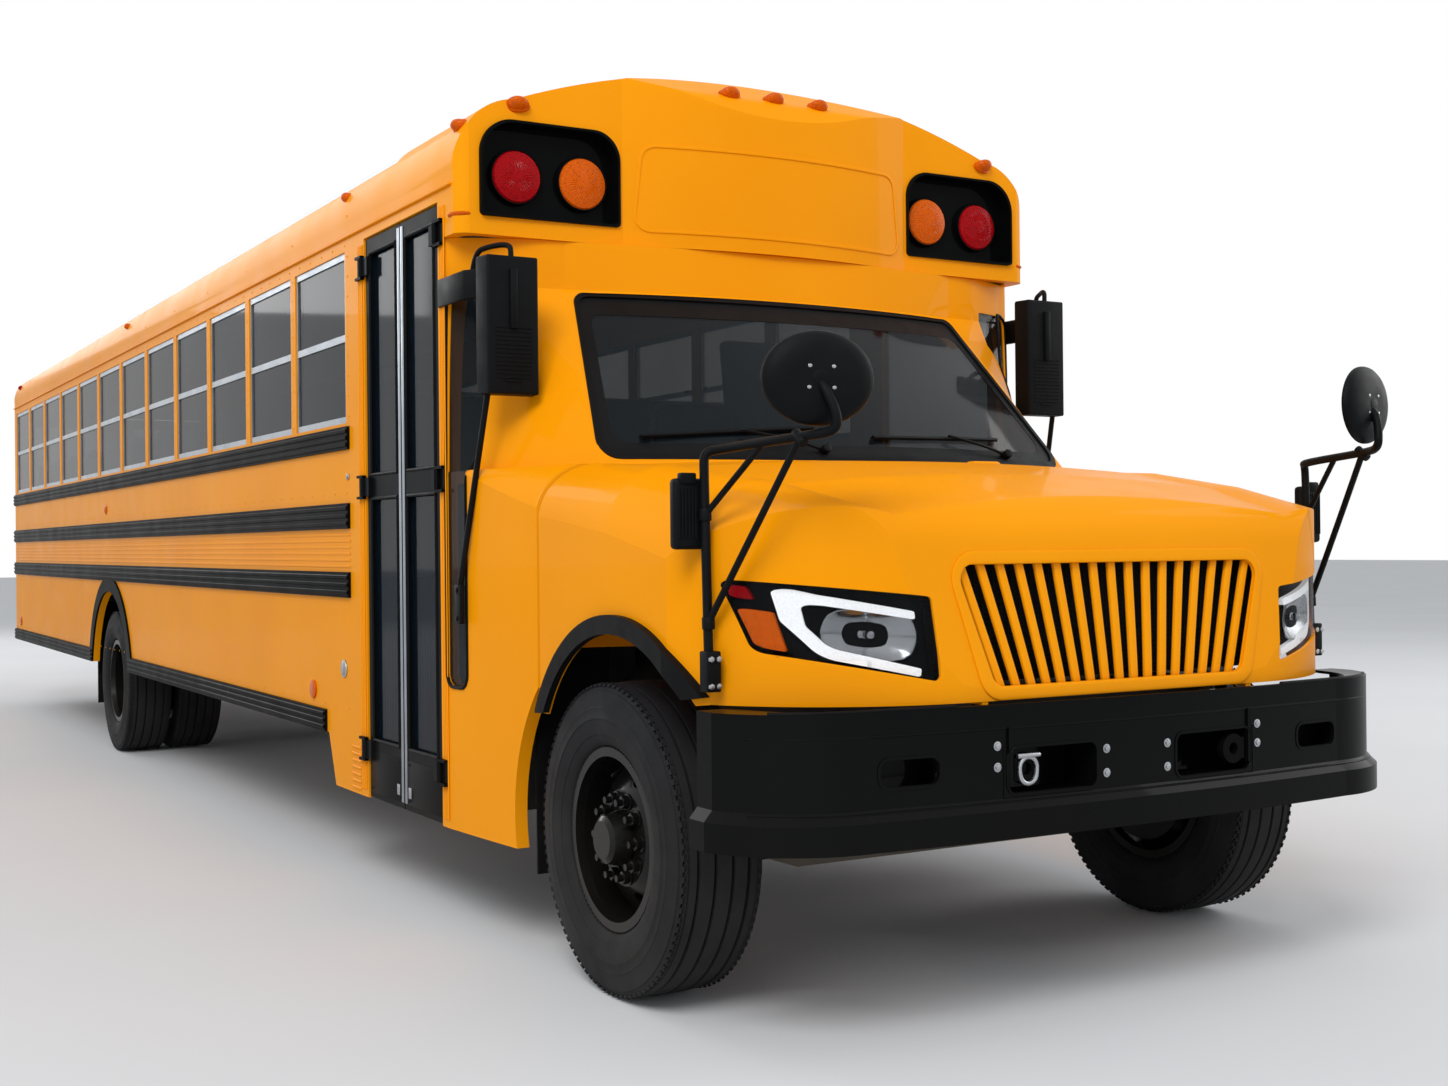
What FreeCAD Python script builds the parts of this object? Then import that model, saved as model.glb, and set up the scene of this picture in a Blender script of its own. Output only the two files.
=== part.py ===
"""Long-nosed school bus: ladder frame, steered front axle, twin rear wheels, tilting hood and a panelled body.

Millimetres, +Z up, +X to the bus's left, front towards -Y. The origin is on the ground, midway along the
bus. Lengthwise places are stations, measured rearward from the front axle; at() turns one into a Y.
"""

import math
import os

import FreeCAD
import Part

V = FreeCAD.Vector

# ---- Sizes: whole vehicle ----
wheelbase = 7010.0
front_overhang = 940.0
rear_overhang = 4290.0
body_width = 2440.0
floor_height = 1000.0
wall = 40.0

half_width = body_width / 2
inner_half = half_width - wall
length = front_overhang + wheelbase + rear_overhang
front_axle_y = front_overhang - length / 2

# ---- Sizes: stations along the body ----
hood_rear = 430.0
hood_gap = 18.0
cab_front = hood_rear + hood_gap
cab_rear = 1115.0
door_front = 1130.0
door_width = 780.0
door_rear = door_front + door_width
window_start = 2110.0
window_pitch = 750.0
window_count = 12
body_rear = 11190.0
rear_face = wheelbase + rear_overhang
body_clear = 0.3

# ---- Sizes: heights on the body ----
skirt_height = 540.0
step_skirt_height = 335.0
eave_height = 2510.0
door_top = eave_height - 50
sill_height = 1775.0
window_top = eave_height - 65
window_post = 64.0
wall_clear = 0.3
seat_clear = 0.3

# ---- Sizes: roof section ----
roof_corner = 290.0
roof_shoulder_height = eave_height + 265
roof_crown_height = roof_shoulder_height + 205
roof_skin = 45.0

# ---- Sizes: wheels ----
tyre_radius = 447.5
tyre_width = 283.0
tyre_crown = 246.0
rim_radius = 261.0
rim_inner = 230.0
rim_lip = 12.0
bead_seat = 34.0
wheel_disc = 14.0
wheel_bore = 80.0
stud_circle = 225.0
stud_count = 10
disc_flat = stud_circle / 2 + 25
hand_hole_count = 5
hand_hole_radius = 26.0
hand_hole_circle = 366.0
front_wheel_x = 1030.0
front_dish = 62.0
rear_outer_x = 1062.0
dual_spacing = 312.0
wheel_seat_depth = 0.3

# ---- Sizes: axles and steering ----
kingpin_x = 830.0
kingpin_radius = 24.0
kingpin_height = 236.0
pivot_clear = 0.1
beam_depth = 90.0
beam_drop = 90.0
spindle_radius = 42.0
drum_radius = 196.0
drum_width = 130.0
steer_arm_length = 200.0
tie_rod_radius = 19.0
tie_pin_radius = 13.0
axle_tube_radius = 66.0
banjo_radius = 205.0

# ---- Sizes: frame and springs ----
rail_outer_x = 432.0
rail_height = 250.0
rail_flange = 76.0
rail_plate = 9.0
rail_top = 892.0
rail_front = -768.0
rail_rear = rear_face - 130.0
spring_width = 80.0
leaf = 13.0
leaf_count = 4
spring_x = rail_outer_x - rail_flange / 2

# ---- Sizes: openings over the wheels ----
front_arch = 522.0
front_arch_y = -80.0
front_arch_z = 520.0
cab_arch = 600.0
rear_arch = 620.0
rear_arch_height = 400.0
flare_width = 48.0
flare_proud = 22.0
rear_trim_width = 92.0

# ---- Sizes: roof hatches and rear door ----
hatch_size = 560.0
hatch_lid = hatch_size / 2 + 26
hatch_ring = 16.0
hatch_hinge_x = 170.0
hatch_stations = [4000.0, 8500.0]
lid_gap = 0.5
cap_rear = cab_rear
rear_door_half = 330.0
rear_door_low = 960.0
rear_door_top = eave_height - 70
rear_door_gap = 6.0
door_leaf = 40.0
rear_window_x = (470.0, 1070.0)
rear_window_z = (sill_height + 25, window_top - 95)

# ---- Sizes: entrance ----
step_inner = 480.0
step_heights = [370.0, 580.0, 790.0]
step_plate = 8.0
entry_leaf = 34.0
entry_gap = 8.0
entry_frame = 46.0
hinge_out = 12.0
knuckle_half = 35.0
knuckle_radius = 10.0
door_pin = 5.0
door_split = 1515.0
entry_hinge_z = [520.0, door_split, door_top - 110]
rear_pane_low = (1130.0, 1640.0)
rear_pane_top = (1790.0, door_top - 100)
rear_hinge_z = [1060.0, 1715.0, rear_pane_top[1] - 20]
driver_window = (door_front + 20, door_rear - 20)

# ---- Sizes: cab front ----
cowl_top = 1538.0
windshield_low = 1550.0
cap_low = eave_height - 180
windshield_high = cap_low - 165
cap_face = 950.0
cap_nose = 850.0
base_corner = (960.0, 430.0)
base_centre = 246.0
base_middle = (1120.0, 800.0)
head_middle = (1040.0, 990.0)
head_corner = (830.0, 955.0)
head_centre = 850.0
flank_x = 1168.0
cowl_bow = 200.0
flank_turn = 1080.0
vision_window = (925.0, 1068.0)
vision_top = windshield_high + 35
toe_height = 970.0

# ---- Sizes: hood ----
hood_skin = 8.0
hood_low = 868.0
hood_rear_low = 775.0
nose_y = -872.0
nose_lean = 58.0
nose_radius = 170.0
nose_top = 1372.0
hood_back_top = 1566.0
hood_slices = [(nose_y - 40, 1150, 1130, (700, nose_top - 42), nose_top),
               (-430, 1160, 1235, (812, 1448), 1484),
               (-20, 1166, 1320, (900, 1512), 1541),
               (hood_rear + 20, 1168, 1380, (952, 1540), hood_back_top)]
hinge_y = nose_y + 57
hinge_z = 890.0
hinge_x = 470.0
hinge_pin = 11.0
hinge_eye = 17.0
grille_low = 905.0
grille_top = 1225.0
grille_half_low = 452.0
grille_half_top = 560.0
grille_bars = 17

# ---- Sizes: bumpers ----
bumper_low = 515.0
bumper_top = 862.0
bumper_plate = 9.0
bumper_end = -575.0
bumper_lip = 75.0
bumper_slope = 28.0
bumper_step = 24.0
bumper_arm_low = 650.0
bumper_arm_top = 802.0
rear_bumper_low = 580.0
rear_bumper_top = 900.0

# ---- Sizes: warning lamps ----
lamp_radius = 89.0
lamp_x = (745.0, 992.0)
lamp_z = cap_low + 210
pocket_x = (618.0, 1140.0)
pocket_z = (cap_low + 62, cap_low + 392)

# ---- Sizes: steering wheel ----
wheel_centre = (590.0, 1030.0, 1500.0)
column_tilt = 32.0
steering_radius = 228.0

# ---- Sizes: stop sign, tow eyes and plate ----
stop_arm_y = 1960.0
stop_arm_z = 1560.0
stop_radius = 228.0
stop_pin_x = 46.3
tow_eye_x = 381.0
tow_eye_y = -894.0
tow_eye_z = 690.0
tow_eye_radius = 17.0
tow_eye_outer = 42.0
tow_eye_plate = 22.0
plate_x = 620.0
plate_z = 1020.0
plate_spacing = (178.0, 121.0)
plate_hole = 3.5


def at(station):
    """Frame Y of a station."""
    return front_axle_y + station


# ---- Making shapes ----
def box(x, y, z):
    """Block between low and high values on each axis."""
    return Part.makeBox(x[1] - x[0], y[1] - y[0], z[1] - z[0], V(x[0], y[0], z[0]))


def rod(radius, start, end):
    """Round bar between two points."""
    start, end = V(*start), V(*end)
    return Part.makeCylinder(radius, (end - start).Length, start, end - start)


def spot(axis, where, u, v):
    """Point at a place on one axis; u and v are the other two, in X, Y, Z order."""
    return {"x": V(where, u, v), "y": V(u, where, v), "z": V(u, v, where)}[axis]


def outline(axis, where, corners):
    """Closed wire across an axis. Each corner is (u, v) or (u, v, radius)."""
    stops = []
    for i, corner in enumerate(corners):
        here = V(corner[0], corner[1], 0)
        if len(corner) < 3:
            stops.append((here, None, here))
            continue
        back = (V(*corners[i - 1][:2], 0) - here).normalize()
        ahead = (V(*corners[(i + 1) % len(corners)][:2], 0) - here).normalize()
        half = back.getAngle(ahead) / 2
        reach = corner[2] / math.tan(half)
        inward = (back + ahead).normalize()
        crown = here + inward * (corner[2] / math.sin(half) - corner[2])
        stops.append((here + back * reach, crown, here + ahead * reach))
    edges = []
    for i, (start, crown, end) in enumerate(stops):
        before = stops[i - 1][2]
        if (before - start).Length > 1e-6:
            edges.append(Part.LineSegment(spot(axis, where, before.x, before.y),
                                          spot(axis, where, start.x, start.y)).toShape())
        if crown is not None:
            edges.append(Part.Arc(spot(axis, where, start.x, start.y), spot(axis, where, crown.x, crown.y),
                                  spot(axis, where, end.x, end.y)).toShape())
    return Part.Wire(edges)


def curved(axis, where, start, steps):
    """Closed wire across an axis from a start; a step is (u, v) for a line or (mid u, mid v, u, v) for an arc."""
    edges = []
    here = start
    for step in [*steps, start]:
        end = step[-2:]
        if len(step) == 4:
            edges.append(Part.Arc(spot(axis, where, *here), spot(axis, where, *step[:2]),
                                  spot(axis, where, *end)).toShape())
        elif math.dist(here, end) > 1e-6:
            edges.append(Part.LineSegment(spot(axis, where, *here), spot(axis, where, *end)).toShape())
        here = end
    return Part.Wire(edges)


def extrude(wire, vector):
    """Solid swept straight from a closed flat wire."""
    return Part.Face(wire).extrude(V(*vector))


def along_x(corners, low, high):
    """Solid with a (Y, Z) outline between two X values."""
    return extrude(outline("x", low, corners), (high - low, 0, 0))


def along_y(corners, low, high):
    """Solid with an (X, Z) outline between two Y values."""
    return extrude(outline("y", low, corners), (0, high - low, 0))


def along_z(corners, low, high):
    """Solid with an (X, Y) outline between two heights."""
    return extrude(outline("z", low, corners), (0, 0, high - low))


def mirrored(shape):
    """The same shape on the bus's other side."""
    return shape.mirror(V(0, 0, 0), V(1, 0, 0))


def both(shape):
    """A shape and its other-side twin."""
    return [shape, mirrored(shape)]


def joined(shapes):
    """One solid fused from shapes that touch."""
    shapes = list(shapes)
    return shapes[0].fuse(shapes[1:]).removeSplitter()


def turned(profile, centre, axis, repeats=360):
    """Solid of revolution of a closed wire."""
    return Part.Face(profile).revolve(V(*centre), V(*axis), repeats)


def spun_x(points, y, z):
    """Solid turned about a line along X at (y, z); points are (X, radius)."""
    profile = Part.makePolygon([V(x, y, z + r) for x, r in [*points, points[0]]])
    return turned(profile, (0, y, z), (1, 0, 0))


def chain(points, radius):
    """Bent tube along points with ball knees."""
    pieces = [rod(radius, a, b) for a, b in zip(points, points[1:])]
    pieces += [Part.makeSphere(radius * 1.01, V(*p)) for p in points[1:-1]]
    return joined(pieces)


# ---- Chassis ----
def frame_rails():
    """Two channel rails with cross-members, one welded ladder."""
    low = rail_top - rail_height
    channel = [(rail_outer_x, low), (rail_outer_x, rail_top), (rail_outer_x - rail_flange, rail_top),
               (rail_outer_x - rail_flange, rail_top - rail_plate),
               (rail_outer_x - rail_plate, rail_top - rail_plate),
               (rail_outer_x - rail_plate, low + rail_plate),
               (rail_outer_x - rail_flange, low + rail_plate),
               (rail_outer_x - rail_flange, low)]
    rail = along_y(channel, at(rail_front), at(rail_rear))
    inside = rail_outer_x - rail_plate
    cross_depth = 90.0
    cross_drop = 150.0
    stations = [rail_front + 60, 1500, 3100, 4700, 6000, 8000, 9700, rail_rear - 120]
    members = [box((-inside, inside), (at(s), at(s) + cross_depth),
                   (rail_top - cross_drop, rail_top - rail_plate)) for s in stations]
    return joined([rail, mirrored(rail), *members])


def leaf_spring(station, half_length, pad_height):
    """Curved leaf pack with an eye bracket at each end, hung from one rail."""
    sag = rail_top - rail_height - 36.0 - pad_height
    radius = (half_length ** 2 + sag ** 2) / (2 * sag)
    x = (spring_x - spring_width / 2, spring_x + spring_width / 2)
    centre_y, centre_z = at(station), pad_height + radius
    bands = []
    for k in range(leaf_count):
        reach = half_length * (1 - 0.2 * k)
        outer = radius + leaf * k
        ring = rod(outer + leaf, (x[0], centre_y, centre_z), (x[1], centre_y, centre_z)).cut(
            rod(outer - 0.01, (x[0] - 1, centre_y, centre_z), (x[1] + 1, centre_y, centre_z)))
        bands.append(ring.common(box(x, (centre_y - reach, centre_y + reach),
                                     (pad_height - leaf * (k + 1) - 1, centre_z))).common(
            box(x, (centre_y - reach, centre_y + reach),
                (pad_height - leaf * (k + 1) - 1, pad_height + sag))))
    hanger_z = rail_top - rail_height
    for end in (-1, 1):
        tip = centre_y + end * (half_length - 30)
        bands.append(box(x, (tip - 45, tip + 45), (hanger_z - 50, hanger_z)))
    return joined(bands)


def leaf_springs():
    """All four leaf packs, each resting on its axle's pad."""
    front_pad = beam_top() + leaf * leaf_count
    rear_pad = tyre_radius + axle_tube_radius + 8 + leaf * leaf_count
    return Part.makeCompound(both(leaf_spring(0, 720, front_pad)) + both(leaf_spring(wheelbase, 760,
                                                                                     rear_pad)))


def beam_top():
    """Height of the front axle beam's spring pads."""
    return tyre_radius - 12.0


def front_axle():
    """Dropped forged beam with an eye and a fixed king pin at each end."""
    eye_radius = 44.0
    eye_height = 120.0
    pad = spring_x + spring_width / 2 + 20
    top = beam_top()
    low = tyre_radius - beam_drop - 45
    hub = tyre_radius
    beam = [(-kingpin_x, hub + 40), (-kingpin_x, hub - 40), (-pad - 90, low), (pad + 90, low),
            (kingpin_x, hub - 40),
            (kingpin_x, hub + 40), (pad + 90, top), (-pad - 90, top)]
    web = along_y(beam, at(0) - beam_depth / 2, at(0) + beam_depth / 2)
    pocket = [(-pad + 20, low + 22), (-pad + 20, top - 22), (pad - 20, top - 22), (pad - 20, low + 22)]
    pocket_depth = beam_depth / 2 - 8
    for side in (-1, 1):
        edge = at(0) + side * beam_depth / 2
        web = web.cut(along_y(pocket, min(edge, edge - side * pocket_depth),
                              max(edge, edge - side * pocket_depth)))
    ends = []
    for side in (-1, 1):
        x = side * kingpin_x
        ends.append(rod(eye_radius, (x, at(0), hub - eye_height / 2), (x, at(0), hub + eye_height / 2)))
        ends.append(rod(kingpin_radius, (x, at(0), hub - kingpin_height / 2),
                        (x, at(0), hub + kingpin_height / 2)))
    return joined([web, *ends])


def knuckle():
    """Left knuckle: forked ears on the king pin, wheel spindle and steering arm with its ball pin."""
    hub = tyre_radius
    ear_radius = 46.0
    ear_gap = 121.0
    ear_height = 52.0
    x, y = kingpin_x, at(0)
    back_x = x + 46.0
    pieces = []
    for side in (-1, 1):
        low = hub + side * ear_gap / 2
        high = low + side * ear_height
        z = (min(low, high), max(low, high))
        pieces.append(rod(ear_radius, (x, y, z[0]), (x, y, z[1])))
        pieces.append(box((x, back_x + 20), (y - ear_radius, y + ear_radius), z))
    reach = ear_gap / 2 + ear_height
    pieces.append(box((back_x, back_x + 20), (y - ear_radius, y + ear_radius), (hub - reach, hub + reach)))
    pieces.append(rod(spindle_radius, (back_x + 10, y, hub), (front_wheel_x + 20, y, hub)))
    arm_low = hub - reach
    arm_top = arm_low + 26.0
    pieces.append(box((x - 24, x + 24), (y, y + steer_arm_length), (arm_low, arm_top)))
    pieces.append(rod(28, (x, y + steer_arm_length, arm_low), (x, y + steer_arm_length, arm_top)))
    pieces.append(rod(tie_pin_radius, (x, y + steer_arm_length, arm_low - tie_rod_radius * 2 - 14),
                      (x, y + steer_arm_length, arm_low)))
    pin = rod(kingpin_radius + pivot_clear, (x, y, hub - kingpin_height / 2 - 1),
              (x, y, hub + kingpin_height / 2 + 1))
    return joined(pieces).cut(pin)


def tie_rod():
    """Straight track rod with an eye round each steering arm's ball pin."""
    arm_low = tyre_radius - 121.0 / 2 - 52.0
    top = arm_low - 4.0
    low = top - tie_rod_radius * 2
    z = (top + low) / 2
    y = at(0) + steer_arm_length
    bar = rod(tie_rod_radius, (-kingpin_x + 20, y, z), (kingpin_x - 20, y, z))
    eyes = [rod(30, (x, y, low), (x, y, top)) for x in (-kingpin_x, kingpin_x)]
    pins = [rod(tie_pin_radius + 0.3, (x, y, low - 1), (x, y, top + 1)) for x in (-kingpin_x, kingpin_x)]
    shape = joined([bar, *eyes])
    for pin in pins:
        shape = shape.cut(pin)
    return shape


def rear_axle():
    """Axle tube with banjo housing, spring pads and driven hubs' spindles."""
    y, z = at(wheelbase), tyre_radius
    tip = rear_outer_x - 60
    tube = rod(axle_tube_radius, (-560, y, z), (560, y, z))
    spindle = rod(spindle_radius, (-tip, y, z), (tip, y, z))
    banjo = spun_x([(-150, 0), (-150, 70), (-70, banjo_radius), (70, banjo_radius), (150, 70), (150, 0)],
                   y, z)
    nose = rod(85, (0, y - banjo_radius - 120, z), (0, y, z))
    pads = [box((s * spring_x - 55, s * spring_x + 55), (y - 80, y + 80),
                (z + 20, z + axle_tube_radius + 8))
            for s in (-1, 1)]
    return joined([tube, spindle, banjo, nose, *pads])


def driveshaft():
    """Two-piece shaft with a centre bearing hung from the frame."""
    radius = 52.0
    start = (0, at(1130), 640)
    middle = (0, at(3900), 600)
    end = (0, at(wheelbase) - banjo_radius - 126, tyre_radius)
    bearing = box((-70, 70), (at(3870), at(3930)), (530, 690))
    hanger = box((-rail_outer_x + rail_plate + seat_clear, rail_outer_x - rail_plate - seat_clear),
                 (at(3880), at(3920)), (690, 730))
    return joined([rod(radius, start, middle), rod(radius, middle, end), bearing, hanger])


def engine_block():
    """Engine as one plain block, with its gearbox behind it."""
    block = box((-330, 330), (at(-440), at(200)), (600, 1230))
    gearbox = box((-190, 190), (at(200), at(1120)), (520, 840))
    ear = rail_outer_x - rail_flange - seat_clear
    low = rail_top - rail_height
    ears = box((-ear, ear), (at(-60), at(60)), (low, low + rail_plate))
    return joined([block, gearbox, ears])


def radiator():
    """Cooling pack standing on the front cross-member."""
    half = rail_outer_x - rail_flange - seat_clear
    core = box((-half + 16, half - 16), (at(-600), at(-500)), (620, 1190))
    tank = box((-half + 40, half - 40), (at(-590), at(-510)), (1190, 1240))
    ears = box((-half, half), (at(-600), at(-500)), (rail_top - rail_plate, rail_top))
    return joined([core, tank, ears])


def fuel_tank():
    """Rounded tank between the rails behind the rear axle, slung on two straps."""
    half = rail_outer_x - rail_flange - 16
    tank = along_y([(-half, 430, 60), (half, 430, 60), (half, 860, 60), (-half, 860, 60)],
                   at(wheelbase + 1150), at(wheelbase + 2550))
    straps = []
    for s in (1350, 2300):
        loop = [(-half - 8, 422, 66), (half + 8, 422, 66), (half + 8, 868, 66), (-half - 8, 868, 66)]
        straps.append(along_y(loop, at(wheelbase + s), at(wheelbase + s + 50)))
        straps.append(box((-rail_outer_x + rail_plate, rail_outer_x - rail_plate),
                          (at(wheelbase + s), at(wheelbase + s + 50)), (820, 860)))
    return joined([tank, *straps])


def exhaust():
    """Pipe and silencer along the left rail, over the rear axle and out at the back."""
    radius = 45.0
    x, over_x = 600.0, 520.0
    z, over_z = 585.0, 830.0
    stops = [(300, at(800), z), (x, at(1300), z), (x, at(5900), z), (over_x, at(6250), over_z),
             (over_x, at(7750), over_z), (x, at(8100), z), (x, at(rear_face - 60), z - 60)]
    can = rod(135, (x, at(2450), z), (x, at(3600), z))
    hooks = [box((rail_outer_x + 0.3, x), (at(s), at(s + 40)), (z, rail_top - rail_height + 26))
             for s in (2200, 4200, 9300)]
    return joined([chain(stops, radius), can, *hooks])


# ---- Wheels ----
def tyre(x):
    """Road tyre with rounded shoulders round a line along X, centred at x."""
    half, crown = tyre_width / 2, tyre_crown / 2
    grip = half - bead_seat - seat_clear
    inner = rim_radius - rim_lip
    y, z = at(0), tyre_radius
    belly = z + (inner + tyre_radius) / 2
    steps = [(x + grip, z + rim_radius + 2), (x + half - 9, z + rim_radius + 44, x + half, belly),
             (x + half - 3, z + tyre_radius - 42, x + crown, z + tyre_radius - 9),
             (x, z + tyre_radius, x - crown, z + tyre_radius - 9),
             (x - half + 3, z + tyre_radius - 42, x - half, belly),
             (x - half + 9, z + rim_radius + 44, x - grip, z + rim_radius + 2), (x - grip, z + inner)]
    return turned(curved("y", y, (x + grip, z + inner), steps), (0, y, z), (1, 0, 0))


def steel_wheel(x, side, dish):
    """Steel wheel: rim barrel with lips and a coned disc with round hand holes; side is +1 when the face looks to +X."""
    y, z = at(0), tyre_radius
    half = tyre_width / 2 - bead_seat
    seat = rim_radius - rim_lip - wheel_seat_depth
    barrel = [(-half - 8, rim_radius), (-half - 8, rim_radius - rim_lip - 14), (-half + 20, rim_inner),
              (half - 20, rim_inner),
              (half + 8, rim_radius - rim_lip - 14), (half + 8, rim_radius), (half, rim_radius),
              (half, seat), (-half, seat),
              (-half, rim_radius)]
    cone = [(dish, wheel_bore), (dish + wheel_disc, wheel_bore), (dish + wheel_disc, disc_flat),
            (dish - 22, rim_inner - 34),
            (dish - 48, rim_inner + 1), (dish - 48 - wheel_disc, rim_inner + 1),
            (dish - 22 - wheel_disc, rim_inner - 38),
            (dish, disc_flat - 6)]
    solid = joined([spun_x([(x + side * a, r) for a, r in part], y, z) for part in (barrel, cone)])
    for k in range(hand_hole_count):
        turn = 2 * math.pi * (k + 0.5) / hand_hole_count
        cy = y + hand_hole_circle / 2 * math.cos(turn)
        cz = z + hand_hole_circle / 2 * math.sin(turn)
        solid = solid.cut(rod(hand_hole_radius, (x + side * (dish - 90), cy, cz),
                              (x + side * (dish + 60), cy, cz)))
    return solid


def studs(face_x, side, centre_y):
    """Ring of wheel studs with nuts, standing out of the disc."""
    ring = []
    for k in range(stud_count):
        turn = 2 * math.pi * k / stud_count
        cy = centre_y + stud_circle / 2 * math.cos(turn)
        cz = tyre_radius + stud_circle / 2 * math.sin(turn)
        ring.append(rod(16, (face_x - side * 2, cy, cz), (face_x + side * 20, cy, cz)))
        ring.append(rod(10, (face_x, cy, cz), (face_x + side * 42, cy, cz)))
    return ring


def front_wheel(side):
    """Front wheel with its hub, drum and studs; the dish bulges outward."""
    face = front_wheel_x + front_dish
    bore = spindle_radius + pivot_clear
    tip = front_wheel_x + 24
    inner_x = front_wheel_x - drum_width + 4
    hub = [(inner_x, bore), (inner_x, drum_radius), (front_wheel_x - 8, drum_radius), (face, disc_flat - 8),
           (face, wheel_bore), (face + wheel_disc + 14, wheel_bore),
           (face + wheel_disc + 60, wheel_bore - 12),
           (face + wheel_disc + 70, wheel_bore - 26), (face + wheel_disc + 70, 0), (tip, 0), (tip, bore)]
    body = spun_x([(side * a, r) for a, r in hub], at(0), tyre_radius)
    face_x = side * (face + wheel_disc)
    return joined([steel_wheel(side * front_wheel_x, side, front_dish), body, *studs(face_x, side, at(0))])


def rear_wheel(side):
    """Twin rear wheels on one hub: the outer dish faces in, so the hub shows deep inside its rim."""
    y, z = at(wheelbase), tyre_radius
    bore = spindle_radius + pivot_clear
    inner = rear_outer_x - dual_spacing
    mid = (rear_outer_x + inner) / 2
    dish = dual_spacing / 2 - wheel_disc
    pair = [steel_wheel(side * rear_outer_x, -side, dish), steel_wheel(side * inner, side, dish)]
    for wheel in pair:
        wheel.translate(V(0, wheelbase, 0))
    tip = rear_outer_x - 56
    hub = [(580, bore), (580, drum_radius), (728, drum_radius), (mid - wheel_disc, disc_flat),
           (mid - wheel_disc, wheel_bore),
           (mid + wheel_disc + 20, wheel_bore), (mid + 110, wheel_bore - 12),
           (mid + 124, wheel_bore - 24), (mid + 124, 0),
           (tip, 0), (tip, bore)]
    body = spun_x([(side * a, r) for a, r in hub], y, z)
    face_x = side * (mid + wheel_disc)
    return joined([*pair, body, *studs(face_x, side, y)])


def rear_tyres(side):
    """Both tyres of a twin wheel."""
    pair = [tyre(side * x) for x in (rear_outer_x, rear_outer_x - dual_spacing)]
    for one in pair:
        one.translate(V(0, wheelbase, 0))
    return Part.makeCompound(pair)


# ---- Body shell ----
def roof_outline(inset, low):
    """Corners of the roof's cross-section, set in by a thickness and open down to a height."""
    x = half_width - inset
    top = roof_crown_height - inset
    return x, roof_shoulder_height - inset, top, low


def roof_wire(y, inset, low):
    """Closed (X, Z) wire: sides, round shoulders and a long crown arc."""
    x, shoulder, top, low = roof_outline(inset, low)
    corner_x = x - roof_corner * 0.72
    arc_mid_x = x - roof_corner * 0.16
    arc_mid_z = shoulder - roof_corner * 0.32
    side_top = shoulder - roof_corner * 0.80
    crown_edge = (corner_x, shoulder + 20)
    return curved("y", y, (x, low), [(x, side_top), (arc_mid_x, arc_mid_z + 22, *crown_edge),
                                     (0, top, -crown_edge[0], crown_edge[1]),
                                     (-arc_mid_x, arc_mid_z + 22, -x, side_top), (-x, low)])


def hatch_boxes(grow, z):
    """Places of the two roof hatches, grown sideways."""
    return [box((-hatch_size / 2 - grow, hatch_size / 2 + grow),
                (at(s) - hatch_size / 2 - grow, at(s) + hatch_size / 2 + grow), z) for s in hatch_stations]


def hatch_axis(station):
    """Y and Z of a hatch's hinge line, just ahead of its lid."""
    return at(station) - hatch_lid - 16, roof_crown_height + hatch_ring + lid_gap + 10


def hatch_mounts(station):
    """Fixed halves of a hatch's hinge: lugs on the roof with a pin between each pair."""
    y, z = hatch_axis(station)
    parts = []
    for centre in (-hatch_hinge_x, hatch_hinge_x):
        for end in (-1, 1):
            x = sorted((centre + end * knuckle_half, centre + end * (knuckle_half + 12)))
            parts.append(box(x, (y - 9, y + 9), (roof_crown_height - 20, z + 8)))
            parts.append(box(x, (y - 9, y + 20), (roof_crown_height - 20,
                                                  roof_crown_height + hatch_ring - 2)))
        parts.append(rod(door_pin, (centre - knuckle_half - 6, y, z), (centre + knuckle_half + 6, y, z)))
    return parts


def roof():
    """Hollow roof from the front cap to the rear wall, with raised hatch rings and hinge lugs round two openings."""
    length_y = at(body_rear) - at(cap_rear)
    outer = extrude(roof_wire(at(cap_rear), 0, eave_height), (0, length_y, 0))
    inner = extrude(roof_wire(at(cap_rear) - 1, roof_skin, eave_height - 1), (0, length_y + 2, 0))
    shell = outer.cut(inner)
    for ring, hole in zip(hatch_boxes(34, (roof_crown_height - 90, roof_crown_height + hatch_ring)),
                          hatch_boxes(-12, (roof_crown_height - 200, roof_crown_height + 60))):
        shell = shell.fuse(ring.cut(inner)).cut(hole)
    for station in hatch_stations:
        shell = shell.fuse(hatch_mounts(station))
    return shell.removeSplitter()


def roof_hatch(station):
    """Raised hatch lid over one roof opening, with two bored hinge barrels on its front edge."""
    z = roof_crown_height + hatch_ring + lid_gap
    half = hatch_lid
    y = at(station)
    top = along_z([(-half, y - half, 60), (half, y - half, 60), (half, y + half, 60),
                   (-half, y + half, 60)], z, z + 34)
    crown = along_z([(-half + 60, y - half + 60, 50), (half - 60, y - half + 60, 50),
                     (half - 60, y + half - 60, 50),
                     (-half + 60, y + half - 60, 50)], z + 34, z + 48)
    lid = joined([top, crown])
    axis_y, axis_z = hatch_axis(station)
    for centre in (-hatch_hinge_x, hatch_hinge_x):
        x = (centre - knuckle_half + 0.5, centre + knuckle_half - 0.5)
        barrel = rod(9, (x[0], axis_y, axis_z), (x[1], axis_y, axis_z))
        strap = box(x, (axis_y, y - half + 20), (axis_z - 6, axis_z + 6))
        bore = rod(door_pin + pivot_clear, (x[0] - 1, axis_y, axis_z), (x[1] + 1, axis_y, axis_z))
        lid = lid.fuse([barrel, strap]).cut(bore)
    return lid


def wall_profile(bottom_front):
    """(Y, Z) outline of a side wall; the step skirt hangs lower where bottom_front is below the skirt."""
    slope_start, slope_end = 2310.0, 2400.0
    return [(at(cab_rear), bottom_front), (at(slope_start), bottom_front), (at(slope_end), skirt_height),
            (at(body_rear), skirt_height), (at(body_rear), eave_height - wall_clear),
            (at(cab_rear), eave_height - wall_clear)]


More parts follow.
